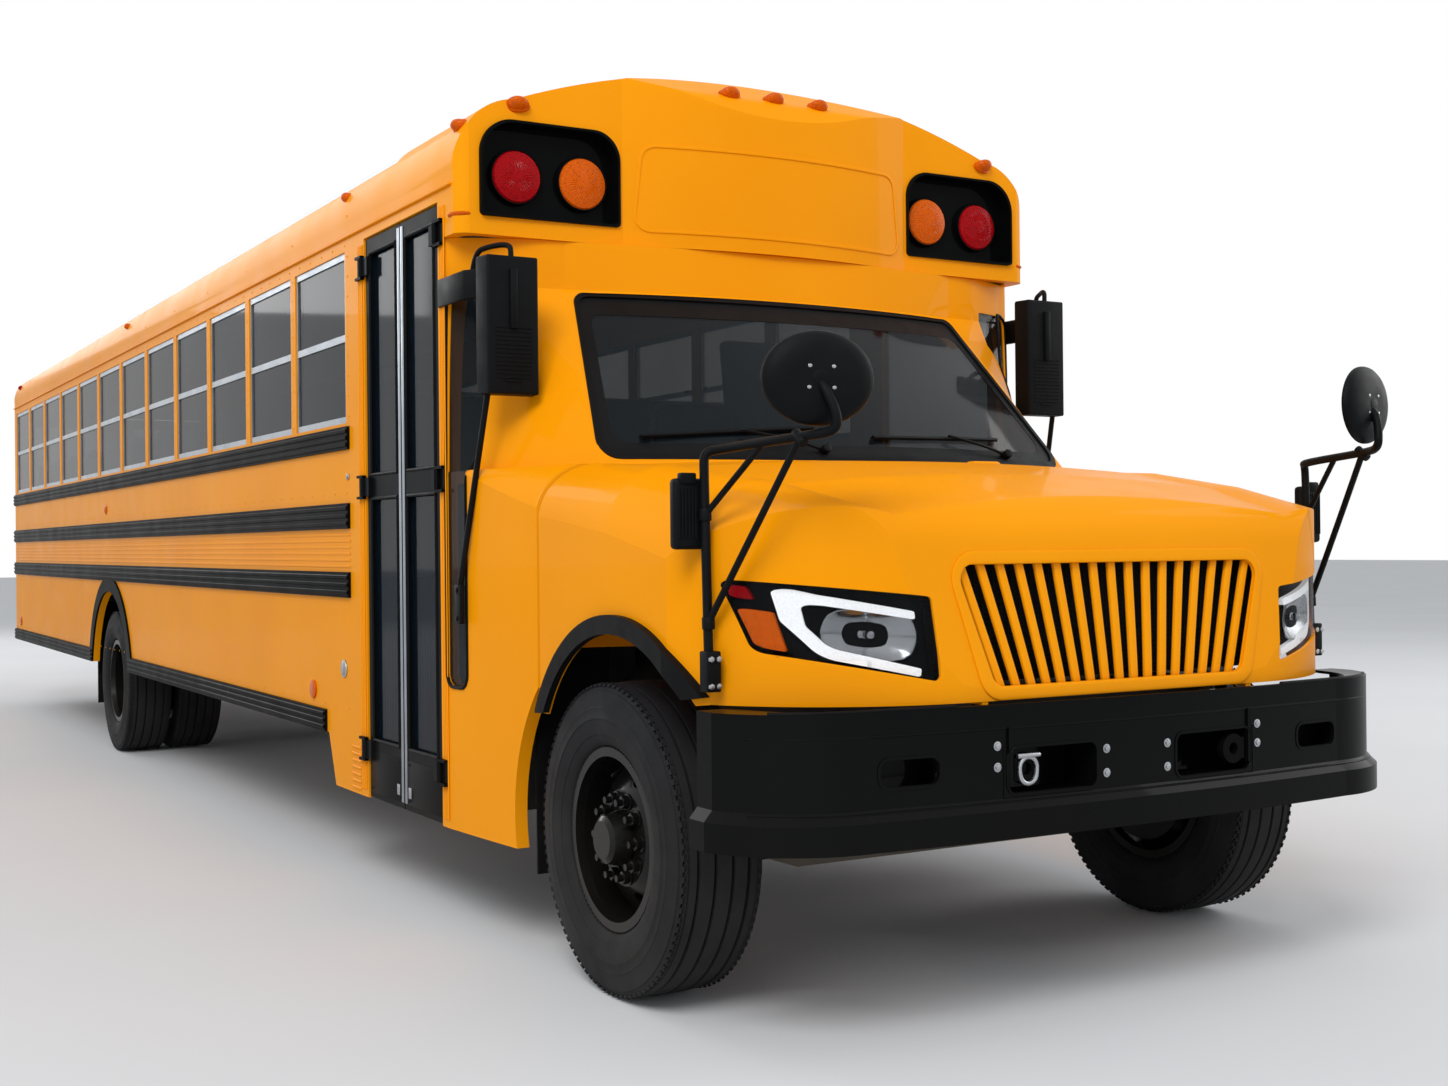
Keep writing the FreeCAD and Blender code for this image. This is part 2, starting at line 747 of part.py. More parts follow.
def window_boxes(side, grow=0.0, sides=(0.0, 0.0)):
    """Window openings of one side as blocks through the wall; grow widens each edge."""
    x = (inner_half - 10, half_width + 10) if side > 0 else (-half_width - 10, -inner_half + 10)
    found = []
    for k in range(window_count):
        y0 = at(window_start + k * window_pitch) + window_post / 2
        y1 = at(window_start + (k + 1) * window_pitch) - window_post / 2
        found.append(box(x, (y0 - grow, y1 + grow), (sill_height - grow, window_top + grow)))
    return found


def side_wall(side):
    """Side wall with window, wheel and door openings cut; the right one holds the entrance."""
    bottom = step_skirt_height if side < 0 else skirt_height
    x = (inner_half, half_width) if side > 0 else (-half_width, -inner_half)
    slab = along_x(wall_profile(bottom), *x)
    if side < 0:
        slab = slab.cut(box((x[0] - 5, x[1] + 5), (at(door_front), at(door_rear)), (0, door_top)))
    else:
        slab = slab.cut(box((x[0] - 5, x[1] + 5), (at(driver_window[0]), at(driver_window[1])),
                            (1640, window_top)))
    for hole in window_boxes(side):
        slab = slab.cut(hole)
    arch = rod(rear_arch, (x[0] - 5, at(wheelbase), rear_arch_height),
               (x[1] + 5, at(wheelbase), rear_arch_height))
    return slab.cut(arch)


def rear_wall():
    """Flat rear wall between the side walls, open for the emergency door and two windows."""
    y = (at(body_rear - wall), at(body_rear))
    wall_solid = extrude(roof_wire(y[0], roof_skin + wall_clear, rear_bumper_top + 5), (0, wall, 0))
    wall_solid = wall_solid.common(box((-inner_half + wall_clear, inner_half - wall_clear), y,
                                       (0, roof_crown_height)))
    holes = [box((-rear_door_half, rear_door_half), (y[0] - 5, y[1] + 5), (rear_door_low, rear_door_top))]
    for s in (-1, 1):
        xs = sorted(s * v for v in rear_window_x)
        holes.append(box(xs, (y[0] - 5, y[1] + 5), rear_window_z))
    for px in (-plate_spacing[0] / 2, plate_spacing[0] / 2):
        for pz in (-plate_spacing[1] / 2, plate_spacing[1] / 2):
            holes.append(rod(plate_hole, (plate_x + px, y[0] - 5, plate_z + pz),
                             (plate_x + px, y[1] + 5, plate_z + pz)))
    for hole in holes:
        wall_solid = wall_solid.cut(hole)
    return wall_solid


def rear_door():
    """Emergency door leaf with its upper window cut, and a handle rail."""
    y = (at(body_rear) - door_leaf + 4, at(body_rear) + 4)
    x = rear_door_half - rear_door_gap
    leaf_solid = box((-x, x), y, (rear_door_low + rear_door_gap, rear_door_top - rear_door_gap))
    leaf_solid = leaf_solid.cut(box((-x + 75, x - 75), (y[0] - 5, y[1] + 5), rear_pane_top))
    leaf_solid = leaf_solid.cut(box((-x + 75, x - 75), (y[0] - 5, y[1] + 5), rear_pane_low))
    handle = box((x - 170, x - 60), (y[1], y[1] + 34), (1690, 1720))
    place = (-rear_door_half, at(body_rear) + hinge_out)
    return hinge_knuckles(joined([leaf_solid, handle]), place, (1, 0, 0), (0, 1, 0), hinge_out - 4,
                          rear_hinge_z)


def rear_door_glass():
    y = (at(body_rear) - 18, at(body_rear) - 12)
    x = rear_door_half - rear_door_gap - 75
    return Part.makeCompound([box((-x, x), y, z) for z in (rear_pane_low, rear_pane_top)])


def floor():
    """Plywood and steel floor on cross sills, with raised wheel boxes and the step opening cut out."""
    x = inner_half - body_clear
    y = (at(cab_rear) + 1, at(body_rear - wall - body_clear))
    plate = box((-x, x), y, (floor_height - 42, floor_height))
    sills = []
    station = 1950.0
    while station < body_rear - 200:
        if abs(station + 35 - wheelbase) > rear_arch + 60:
            sills.append(box((-x, x), (at(station), at(station) + 70),
                             (rail_top + wall_clear, floor_height - 42)))
        station += window_pitch / 2
    plate = joined([plate, *sills])
    steps = box((-x - 10, -step_inner), (at(door_front) - 4, at(door_rear) + 4), (0, floor_height + 10))
    plate = plate.cut(steps)
    skin = 8.0
    box_top = floor_height + 120
    for s in (-1, 1):
        xs = sorted((s * 560, s * x))
        outer = box(xs, (at(wheelbase - 600), at(wheelbase + 600)), (floor_height - 60, box_top))
        inner = box(sorted((s * (560 + skin), s * (x + 10))),
                    (at(wheelbase - 600 + skin), at(wheelbase + 600 - skin)),
                    (0, box_top - skin))
        plate = plate.fuse(outer).cut(inner)
    return plate.removeSplitter()


def entry_steps():
    """Three-step stairwell of folded plate between two side plates."""
    x0 = -inner_half + body_clear + 2
    tread = (-step_inner - x0) / len(step_heights)
    y = (at(door_front), at(door_rear))
    pieces = []
    for k, height in enumerate(step_heights):
        left = x0 + tread * k
        pieces.append(box((left, left + tread), y, (height - step_plate, height)))
        above = step_heights[k + 1] if k + 1 < len(step_heights) else floor_height
        pieces.append(box((left + tread - step_plate, left + tread), y, (height - step_plate, above)))
    x_last = x0 + tread * len(step_heights)
    for edge in (y[0] - 3.5, y[1] - step_plate + 3.5):
        pieces.append(box((x0, x_last), (edge, edge + step_plate),
                          (step_heights[0] - step_plate, floor_height - 44)))
    return joined(pieces)


# ---- Cab front ----
def cab_section(z, corner, centre, middle, inset):
    """Level slice of the cab front: rear edge, sides, a round corner each side and a bowed front."""
    rear = at(cab_rear) + (1 if inset else 0)
    side = half_width - inset
    c = (corner[0] - inset * 0.7, at(corner[1]) + inset)
    turn = (side, at(flank_turn) + inset * 0.5)
    mid = (middle[0] - inset * 0.8, at(middle[1]) + inset * 0.6)
    return curved("z", z, (side, rear), [turn, (*mid, *c), (0, at(centre) + inset, -c[0], c[1]),
                                         (-mid[0], mid[1], -side, turn[1]), (-side, rear)])


def cab_upper(inset):
    """Solid form of the cab above the hood line; an inset form runs out past the rear, top and bottom."""
    past = 1 if inset else 0
    base = cab_section(cowl_top - past, base_corner, base_centre, base_middle, inset)
    head = cab_section(windshield_high, head_corner, head_centre, head_middle, inset)
    brow = cab_section(cap_low - 1 + past, head_corner, head_centre + 20, head_middle, inset)
    return Part.makeLoft([base, head], True, True).fuse(Part.makeLoft([head, brow], True,
                                                                      True)).removeSplitter()


def cab_lower(inset, low=step_skirt_height, high=None):
    """Solid form of the cab below the hood line, with flanks that run forward to the hood's edge."""
    high = cowl_top if high is None else high
    side = half_width - inset
    flank = flank_x - inset
    front = at(cab_front) + inset
    rear = at(cab_rear) + (1 if inset else 0)
    turn = (side, at(flank_turn))
    mid = (side - (half_width - flank_x) * 0.4, at(800))
    wire = curved("z", low, (side, rear), [turn, (*mid, flank, front), (0, front - cowl_bow, -flank, front),
                                           (-mid[0], mid[1], -side, turn[1]), (-side, rear)])
    return extrude(wire, (0, 0, high - low))


def cowl_round(inset):
    """Loft that rounds the cab's flank tops like the hood's shoulders and runs out square at the door posts."""
    station, side_x, side_top, shoulder, crown = hood_slices[-1]
    front = hood_section(station - 260, side_x + 4, side_top, shoulder, crown, inset)
    middle = hood_section(station, side_x + 4, side_top, shoulder, crown, inset)
    back = hood_section(flank_turn, half_width + 8, cowl_top + 10, (half_width - 20, cowl_top + 30),
                        cowl_top + 40, inset)
    rear = hood_section(cab_rear + 20, half_width + 8, cowl_top + 10, (half_width - 20, cowl_top + 30),
                        cowl_top + 40, inset)
    form = Part.makeLoft([front, middle, back, rear], True, True)
    return form.fuse(box((-half_width - 20, half_width + 20), (at(station - 260), at(cab_rear + 20)),
                         (0, 520)))


def windshield_cutter(margin):
    """Block whose front outline is the windshield opening, shrunk by a margin."""
    low, high = windshield_low + 6 + margin, windshield_high - 14 - margin
    base, head = base_corner[0] - 10 - margin, head_corner[0] - 26 - margin
    return along_y([(-base, low, 45), (base, low, 45), (head, high, 70), (-head, high, 70)], at(100),
                   at(1005))


def vision_cutter(side, margin):
    """Block whose side outline is the tall corner window ahead of the door."""
    y0, y1 = at(vision_window[0]) + margin, at(vision_window[1]) - margin
    corners = [(y0, 820 + margin, 40), (y1, 820 + margin, 40), (y1, vision_top - margin, 40),
               (y0, vision_top - margin, 40)]
    x = (1000, half_width + 20) if side > 0 else (-half_width - 20, -1000)
    return along_x(corners, *x)


def cab_shell():
    """Hollow cab front: flanks, pillars, dash wall and brow, open for windshield, corner windows and wheels."""
    lower = cab_lower(0).common(cowl_round(0))
    lower = lower.cut(cab_lower(wall, step_skirt_height - 1, cowl_top - wall).common(cowl_round(wall)))
    mouth = cab_lower(190, cowl_top - wall - 1, cowl_top + 1)
    lower = lower.cut(mouth)
    upper = cab_upper(0).cut(cab_upper(wall))
    upper = upper.cut(windshield_cutter(0))
    shell = lower.fuse(upper)
    for side in (-1, 1):
        shell = shell.cut(vision_cutter(side, 0))
    well_x = flank_x - wall - 8
    shell = shell.cut(box((-well_x, well_x), (at(0), at(cab_front + 240)), (0, toe_height)))
    shell = shell.cut(rod(cab_arch, (-1400, at(0), tyre_radius), (1400, at(0), tyre_radius)))
    return shell.removeSplitter()


def windshield():
    """Bowed glass just inside the cab's outer face."""
    return cab_upper(6).cut(cab_upper(14)).common(windshield_cutter(seat_clear))


def vision_glass():
    """Bent corner panes on both sides."""
    upper = cab_upper(6).cut(cab_upper(14))
    lower = cab_lower(6, 700, cowl_top - seat_clear).cut(cab_lower(14, 699))
    return [pane.common(vision_cutter(side, seat_clear)) for side in (-1, 1) for pane in (upper, lower)]


def dash_floor():
    """Toe board and cab floor between the dash wall and the body floor."""
    x = flank_x - wall - seat_clear
    y0, y1 = at(cab_front + wall + 60), at(cab_rear) + 1 - seat_clear
    return box((-x, x), (y0, y1), (toe_height + 2, floor_height))


def cap_plan(inset):
    """Plan outline of the roof cap: flat beside the lamps, bowed forward in the middle, rounded at the corners."""
    t = inset
    side, turn, flat = half_width + 5 - t, half_width - 45 - t, pocket_x[0] - 10
    y, back = at(cap_face) + t, at(cap_rear + 200)
    return curved("z", cap_low - 60, (side, back),
                  [(side, y + 70), (side - 12, y + 24, turn, y), (flat, y - 8),
                                                    (0, at(cap_nose) + t, -flat, y - 8), (-turn, y),
                                                    (-side + 12, y + 24, -side, y + 70), (-side, back)])


def cap_form(inset):
    """Solid form of the cap: the roof's section cut to the plan, with its brow leaning back."""
    low = cap_low - (1 if inset else 0)
    tube = extrude(roof_wire(at(cap_nose) - 60, inset, low),
                   (0, cap_rear + 60 - cap_nose + (1 if inset else 0), 0))
    plan = extrude(cap_plan(inset), (0, 0, 900))
    lean = along_x([(at(cap_nose) - 70 + inset, cap_low - 2),
                    (at(cap_nose) - 70 + inset, roof_crown_height - 280),
                    (at(cap_nose) + 40 + inset, roof_crown_height - 90, 60),
                    (at(cap_nose) + 200 + inset, roof_crown_height + 8 - inset),
                    (at(cap_rear) + 5, roof_crown_height + 8 - inset), (at(cap_rear) + 5, cap_low - 2)],
                   -1300, 1300)
    return tube.common(plan).common(lean)


def front_cap():
    """Roof cap over the windshield with two lamp pockets."""
    shell = cap_form(0).cut(cap_form(roof_skin))
    for side in (-1, 1):
        shell = shell.cut(pocket_form(side, 0, at(cap_nose) - 80, at(cap_face) + 70))
    return shell.removeSplitter()


def pocket_form(side, grow, y0, y1):
    """Block with a lamp pocket's front outline: square feet and round upper corners."""
    x0, x1 = pocket_x[0] - grow, pocket_x[1] + grow
    z0, z1 = pocket_z[0] - grow, pocket_z[1] + grow
    corners = [(side * u, v, r) for u, v, r in [(x0, z0, 16), (x1, z0, 16), (x1, z1, 120), (x0, z1, 100)]]
    return along_y(corners, y0, y1)


def lamp_pocket(side, face_y, depth, outward):
    """Black tray set in a cap or wall; outward is -1 at the front, +1 at the rear."""
    rim = 9.0
    ys = sorted((face_y + outward * 12, face_y - outward * depth))
    tray = pocket_form(side, -seat_clear, *ys)
    hollow = sorted((face_y + outward * 13, face_y - outward * (depth - 8)))
    return tray.cut(pocket_form(side, -rim, *hollow))


def dome(centre, radius, height, outward):
    """Lens bulging along Y with a short barrel behind."""
    ball = (radius ** 2 + height ** 2) / (2 * height)
    x, y, z = centre
    cap = Part.makeSphere(ball, V(x, y - outward * (ball - height), z))
    ys = sorted((y, y + outward * (height + 1)))
    return joined([cap.common(box((x - radius, x + radius), ys, (z - radius, z + radius))),
                   rod(radius, (x, y - outward * 14, z), (x, y, z))])


# ---- Hood ----
def hood_plan(inset):
    """Plan outline of the hood: a proud nose, swept fender fronts and a bowed rear edge."""
    t = inset
    back = at(hood_rear)
    front = at(nose_y) + t
    steps = [(-flank_x + t, at(-200)), (-1143 + t, at(-440) + t * 0.5, -1050 + t, at(-612) + t),
             (-855 + t, at(-778) + t, -620 + t, front + 12), (-560 + t, front + 6),
             (0, front, 560 - t, front + 6),
             (620 - t, front + 12), (855 - t, at(-778) + t, 1050 - t, at(-612) + t),
             (1143 - t, at(-440) + t * 0.5, flank_x - t, at(-200)), (flank_x - t, back),
             (0, back - cowl_bow, -flank_x + t, back)]
    return curved("z", 500, (-flank_x + t, back), steps)


def hood_section(station, side_x, side_top, shoulder, crown, inset):
    """Upright slice of the hood: sides, round shoulders and a crown arc."""
    x, z = shoulder
    side = side_x - inset
    edge = (x - inset * 0.5, z - inset)
    mid = (side - (side - edge[0]) * 0.25, side_top + (edge[1] - side_top) * 0.70)
    return curved("y", at(station), (side, 500), [(side, side_top), (*mid, *edge),
                                                  (0, crown - inset, -edge[0], edge[1]),
                                                  (-mid[0], mid[1], -side, side_top), (-side, 500)])


def hood_form(inset):
    """Solid form of the hood set in by a thickness."""
    body = Part.makeLoft([hood_section(*slice_sizes, inset) for slice_sizes in hood_slices], True, True)
    plan = extrude(hood_plan(inset), (0, 0, 1200))
    t = inset
    side = along_x([(at(nose_y) - 3 + t, hood_low - 40),
                    (at(nose_y) - 3 + nose_lean + t, nose_top + 18 - t, nose_radius),
                    (at(hood_rear + 100), nose_top + 470), (at(hood_rear + 100), hood_low - 200)], -1300,
                   1300)
    return body.common(plan).common(side)


def lamp_cutter(side, margin):
    """Block with the headlamp's front outline."""
    m = margin
    corners = [(622 + m, 925 + m, 14), (1045 - m, 1008 + m, 40), (1100 - m, 1195 - m, 14),
               (640 + m, 1145 - m, 14)]
    return along_y([(side * u, v, r) for u, v, r in corners], at(-900), at(-380))


def grille_cutter(margin):
    """Block with the grille opening's outline."""
    m = margin
    return along_y([(-grille_half_low + m, grille_low + m, 40), (grille_half_low - m, grille_low + m, 40),
                    (grille_half_top - m, grille_top - m, 40), (-grille_half_top + m, grille_top - m, 40)],
                   at(nose_y) - 100, at(nose_y) + 160)


def hood():
    """Thin tilting hood with both fenders, open for wheels, grille and lamps, and its two hinge lugs."""
    shell = hood_form(0)
    inner = hood_form(hood_skin)
    inner_long = inner.copy()
    inner_long.translate(V(0, 260, 0))
    slot = inner.fuse(inner_long.common(box((-1300, 1300), (at(0), at(hood_rear + 300)), (0, 3000))))
    shell = shell.cut(slot)
    low = along_x([(at(-1000), 0), (at(600), 0), (at(600), hood_rear_low), (at(300), hood_rear_low),
                   (at(-520), hood_low), (at(-1000), hood_low)], -1300, 1300)
    shell = shell.cut(low)
    shell = shell.cut(rod(front_arch, (-1400, at(front_arch_y), front_arch_z),
                          (1400, at(front_arch_y), front_arch_z)))
    shell = shell.cut(grille_cutter(0))
    for side in (-1, 1):
        shell = shell.cut(lamp_cutter(side, 0))
    for side in (-1, 1):
        x = sorted((side * (hinge_x + 6), side * (hinge_x + 26)))
        y0, y1 = at(hinge_y) - 60, at(hinge_y) + 34
        lug = box(x, (y0, y1), (hinge_z - 30, hinge_z + 13)).common(hood_form(2))
        bore = rod(hinge_pin + pivot_clear, (x[0] - 1, at(hinge_y), hinge_z),
                   (x[1] + 1, at(hinge_y), hinge_z))
        shell = shell.fuse(lug).cut(bore)
    return shell.removeSplitter()


def grille():
    """Row of leaning vertical bars on two cross rails, following the nose behind the hood's opening."""
    bars = []
    span_low, span_top = grille_half_low - 32, grille_half_top - 30
    bar = 19.0
    deep = (at(nose_y), at(nose_y) + 130)
    for k in range(grille_bars):
        share = -1 + 2 * k / (grille_bars - 1)
        a, b = share * span_low, share * span_top
        bars.append(along_y([(a - bar, grille_low - 12), (a + bar, grille_low - 12), (b + bar, grille_top + 12),
                             (b - bar, grille_top + 12)], *deep))
    rails = [box((-w, w), deep, z) for w, z in ((span_low + 14, (grille_low + 2, grille_low + 32)),
                                                (span_top + 40, (grille_top - 18, grille_top + 12)))]
    layers = [hood_form(hood_skin + reach) for reach in (0.5, 22.0, 34.0)]
    slats = joined(bars).common(layers[0]).cut(layers[1])
    backs = joined(rails).common(layers[1]).cut(layers[2])
    return joined([slats, backs])


def headlamps():
    """Sealed lamp bodies whose lenses follow the fenders."""
    lens = hood_form(2).cut(hood_form(70))
    return Part.makeCompound([lens.common(lamp_cutter(side, seat_clear)) for side in (-1, 1)])


def front_flares():
    """Rubber wheel-arch lips that follow both fenders."""
    y, z = at(front_arch_y), front_arch_z
    ring = rod(front_arch + flare_width, (-1300, y, z),
               (1300, y, z)).cut(rod(front_arch - 6, (-1301, y, z), (1301, y, z)))
    reach = along_x([(at(hood_rear) - 6, hood_rear_low), (at(hood_rear) - 6, 1200), (at(-640), 1200),
                     (at(-560), hood_low + 26),
                     (at(0), hood_low - 60)], -1300, 1300)
    band = ring.common(reach).common(hood_form(-flare_proud)).cut(hood_form(-body_clear))
    sides = [box((-1300, -1000), (at(-900), at(600)), (500, 1300)),
             box((1000, 1300), (at(-900), at(600)), (500, 1300))]
    return Part.makeCompound([band.common(side) for side in sides])


# ---- Bumpers ----
def bumper_plan(inset, end_y):
    """Plan outline of the wrap-round front bumper's solid, set in by a thickness."""
    t = inset
    front = -front_overhang
    steps = [(1210 - t, at(-650)), (1120 - t, at(-800) + t * 0.7, 860 - t * 0.5, at(-900) + t),
             (0, at(front) + t, -860 + t * 0.5, at(-900) + t),
             (-1120 + t, at(-800) + t * 0.7, -1210 + t, at(-650)),
             (-1210 + t, end_y), (-1100, end_y), (-1080, at(-620)),
             (-1020, at(-755), -840, at(-858)), (0, at(front) + 40, 840, at(-858)),
             (1020, at(-755), 1080, at(-620)),
             (1100, end_y)]
    return curved("z", bumper_low, (1210 - t, end_y), steps)


def bumper_form(inset, end_y):
    """Solid form of the front bumper: a proud lower lip, a sloping ledge and the set-back main face."""
    low, high = bumper_low + inset, bumper_top - inset
    ledge, face = bumper_low + bumper_lip, bumper_low + bumper_lip + bumper_slope
    wires = []
    for back, z in ((0, ledge), (bumper_step, face)):
        wire = bumper_plan(back + inset, end_y)
        wire.translate(V(0, 0, z - bumper_low))
        wires.append(wire)
    lip = extrude(bumper_plan(inset, end_y), (0, 0, ledge - low))
    lip.translate(V(0, 0, inset))
    main = extrude(wires[1], (0, 0, high - face))
    return joined([lip, Part.makeLoft(wires, True, True), main])


def front_bumper():
    """Deep channel bumper with slots, standing on two brackets from the frame rails."""
    end = at(bumper_end)
    shell = bumper_form(0, end).cut(bumper_form(bumper_plate, end + 1))
    holes = []
    for side in (-1, 1):
        holes.append(along_y([(side * 660, 672, 24), (side * 830, 672, 24), (side * 830, 738, 24),
                              (side * 660, 738, 24)],
                             at(-1000), at(-800)))
        holes.append(along_y([(side * 150, 630, 20), (side * 440, 630, 20), (side * 440, 745, 20),
                              (side * 150, 745, 20)],
                             at(-1000), at(-880)))
    for hole in holes:
        shell = shell.cut(hole)
    arms = []
    for side in (-1, 1):
        x = sorted((side * (rail_outer_x + 0.3), side * (rail_outer_x + 14)))
        arms.append(box(x, (at(-front_overhang) + bumper_step + 4, at(rail_front) + 180),
                        (bumper_arm_low, bumper_arm_top)))
    return joined([shell, *arms])


def hood_hinge():
    """Two pivot posts with pins, standing on the bumper's arms for the hood."""
    posts = []
    for side in (-1, 1):
        y, z = at(hinge_y), hinge_z
        x0, x1 = side * (rail_outer_x + 14.3), side * (rail_outer_x + 26)
        post = box(sorted((x0, x1)), (y + 6, y + 40), (bumper_arm_low + 60, z))
        posts.append(joined([post, rod(hinge_eye, (x0, y, z), (x1, y, z)),
                             rod(hinge_pin, (x0, y, z), (side * (hinge_x + 30), y, z))]))
    return Part.makeCompound(posts)


def tow_hooks():
    """Front tow eyes: rings that face forward in the bumper's openings, on plates inside the frame rails."""
    eyes = []
    y0, y1 = at(tow_eye_y) - tow_eye_plate / 2, at(tow_eye_y) + tow_eye_plate / 2
    web = rail_outer_x - rail_plate - seat_clear
    for side in (-1, 1):
        x = side * tow_eye_x
        ring = rod(tow_eye_outer, (x, y0, tow_eye_z), (x, y1, tow_eye_z))
        plate = box(sorted((side * (web - 20), side * web)), (y0, at(rail_front) + 140),
                    (tow_eye_z - 30, tow_eye_z + 30))
        bore = rod(tow_eye_radius, (x, y0 - 1, tow_eye_z), (x, y1 + 1, tow_eye_z))
        eyes.append(joined([ring, plate]).cut(bore))
    return Part.makeCompound(eyes)


def rear_bumper():
    """Straight rear bumper channel with short wrapped ends and arms to the rails."""
    y0, y1 = at(body_rear) + 14, at(rear_face)
    side = half_width - 12
    height = rear_bumper_top - rear_bumper_low
    def plan(t):
        return [(-side + t, y0 - 1), (side - t, y0 - 1), (side - t, y1 - t, 60 - t),
                (-side + t, y1 - t, 60 - t)]
    outer = along_z(plan(0), rear_bumper_low, rear_bumper_top)
    inner = along_z(plan(8), rear_bumper_low + 8, rear_bumper_top - 8)
    inner.translate(V(0, -1, 0))
    shell = outer.cut(inner)
    arms = []
    for s in (-1, 1):
        x = sorted((s * (rail_outer_x + 0.3), s * (rail_outer_x + 14)))
        arms.append(box(x, (at(rail_rear) - 250, y1 - 4), (rail_top - 190, rail_top - 20)))
    return joined([shell, *arms])


# ---- Doors ----
def entry_leaf_shape(front):
    """One entrance leaf: a framed panel with upper and lower glass openings, hung on its outer edge."""
    x = (-half_width + 6, -half_width + 6 + entry_leaf)
    mid = (door_front + door_rear) / 2
    s0, s1 = (door_front + entry_gap, mid - entry_gap / 2) if front else (mid + entry_gap / 2,
                                                                          door_rear - entry_gap)
    leaf_shape = box(x, (at(s0), at(s1)), (step_skirt_height + 5, door_top - entry_gap))
    for z in ((560, door_split - 45), (door_split + 45, door_top - entry_gap - entry_frame - 10)):
        leaf_shape = leaf_shape.cut(box((x[0] - 5, x[1] + 5),
                                        (at(s0 + entry_frame), at(s1 - entry_frame)), z))
    place = (-half_width - hinge_out, at(door_front if front else door_rear))
    return hinge_knuckles(leaf_shape, place, (0, 1 if front else -1, 0), (-1, 0, 0), hinge_out + 6,
                          entry_hinge_z)


def entry_leaf_glass(front):
    """The two panes of one entrance leaf."""
    x = (-half_width + 20, -half_width + 26)
    mid = (door_front + door_rear) / 2
    s0, s1 = (door_front + entry_gap, mid - entry_gap / 2) if front else (mid + entry_gap / 2,
                                                                          door_rear - entry_gap)
    return Part.makeCompound([box(x, (at(s0 + entry_frame), at(s1 - entry_frame)), z)
                              for z in ((560, door_split - 45),
                                        (door_split + 45, door_top - entry_gap - entry_frame - 10))])


# ---- Body trim ----
rub_rails_z = [(1670.0, 1760.0), (1360.0, 1460.0), (1090.0, 1190.0), (540.5, 630.0)]
rail_depth = 12.0


def rub_rails():
    """Pressed rails along both sides, with the rubber lips of the rear wheel openings."""
    pieces = []
    for side in (-1, 1):
        x = sorted((side * (half_width + 0.3), side * (half_width + rail_depth)))
        for z in rub_rails_z:
            stretch = box(x, (at(door_rear + 190), at(body_rear - 8)), z)
            if z[0] < 1000:
                stretch = stretch.cut(rod(rear_arch + rear_trim_width + 4,
                                          (x[0] - 1, at(wheelbase), rear_arch_height),
                                          (x[1] + 1, at(wheelbase), rear_arch_height)))
                stretch = stretch.cut(box((x[0] - 1, x[1] + 1), (at(0), at(2420)), (0, 700)))
            elif z[0] < 1200:
                stretch = stretch.cut(rod(rear_arch + rear_trim_width + 4,
                                          (x[0] - 1, at(wheelbase), rear_arch_height),
                                          (x[1] + 1, at(wheelbase), rear_arch_height)))
            pieces.append(stretch)
        ring = rod(rear_arch + rear_trim_width, (x[0], at(wheelbase), rear_arch_height),
                   (x[1], at(wheelbase), rear_arch_height))
        ring = ring.cut(rod(rear_arch + 2, (x[0] - 1, at(wheelbase), rear_arch_height),
                            (x[1] + 1, at(wheelbase), rear_arch_height)))
        pieces.append(ring.common(box(x, (at(0), at(body_rear)), (skirt_height, 1300))))
    return Part.makeCompound(pieces)


def window_frames():
    """Aluminium sashes of all side windows: a frame with a meeting rail, in each opening."""
    frames = []
    for side in (-1, 1):
        x = sorted((side * (half_width - 26), side * (half_width - 6)))
        for opening in window_boxes(side):
            b = opening.BoundBox
            y = (b.YMin + 0.3, b.YMax - 0.3)
            sash = box(x, y, (sill_height + 0.3, window_top - 0.3))
            mid = (sill_height + window_top) / 2
            for z in ((sill_height + 26, mid - 14), (mid + 14, window_top - 26)):
                sash = sash.cut(box((x[0] - 1, x[1] + 1), (y[0] + 22, y[1] - 22), z))
            frames.append(sash)
    return Part.makeCompound(frames)


def side_glass():
    """Panes of all side windows, the driver's window and the rear wall."""
    panes = []
    for side in (-1, 1):
        x = sorted((side * (half_width - 18), side * (half_width - 13)))
        for opening in window_boxes(side):
            b = opening.BoundBox
            mid = (sill_height + window_top) / 2
            for z in ((sill_height + 26.2, mid - 14.2), (mid + 14.2, window_top - 26.2)):
                panes.append(box(x, (b.YMin + 22.5, b.YMax - 22.5), z))
    driver_x = (half_width - 20, half_width - 14)
    panes.append(box(driver_x, (at(driver_window[0]) + 0.3, at(driver_window[1]) - 0.3),
                     (1640.3, window_top - 0.3)))
    for s in (-1, 1):
        x = sorted((s * (rear_window_x[0] + 0.3), s * (rear_window_x[1] - 0.3)))
        panes.append(box(x, (at(body_rear) - 22, at(body_rear) - 16),
                         (rear_window_z[0] + 0.3, rear_window_z[1] - 0.3)))
    return Part.makeCompound(panes)


def lamp_trays():
    """Black trays of the warning lamps, front and rear."""
    trays = []
    for side in (-1, 1):
        trays.append(lamp_pocket(side, at(cap_face) - 4, 60, -1))
    for s in (-1, 1):
        x = sorted((s * 620, s * 1090))
        trays.append(box(x, (at(body_rear) + 0.3, at(body_rear) + 12), (2425, 2660)))
    return Part.makeCompound(trays)


def warning_lamps(which):
    """Front and rear warning lamps at one place across the bus: 0 inner, 1 outer."""
    lamps = []
    for side in (-1, 1):
        lamps.append(dome((side * lamp_x[which], at(cap_face) + 33.7, lamp_z), lamp_radius, 26, -1))
        lamps.append(dome((side * lamp_x[which], at(body_rear) + 26.3, lamp_z), lamp_radius, 26, 1))
    return Part.makeCompound(lamps)


def tail_lamps():
    """Round stop and turn lamps on the rear wall."""
    return Part.makeCompound([dome((s * x, at(body_rear) + 14.3, 1250), 88, 20, 1) for s in (-1,
                                                                                             1) for x in (560, 800, 1040)])


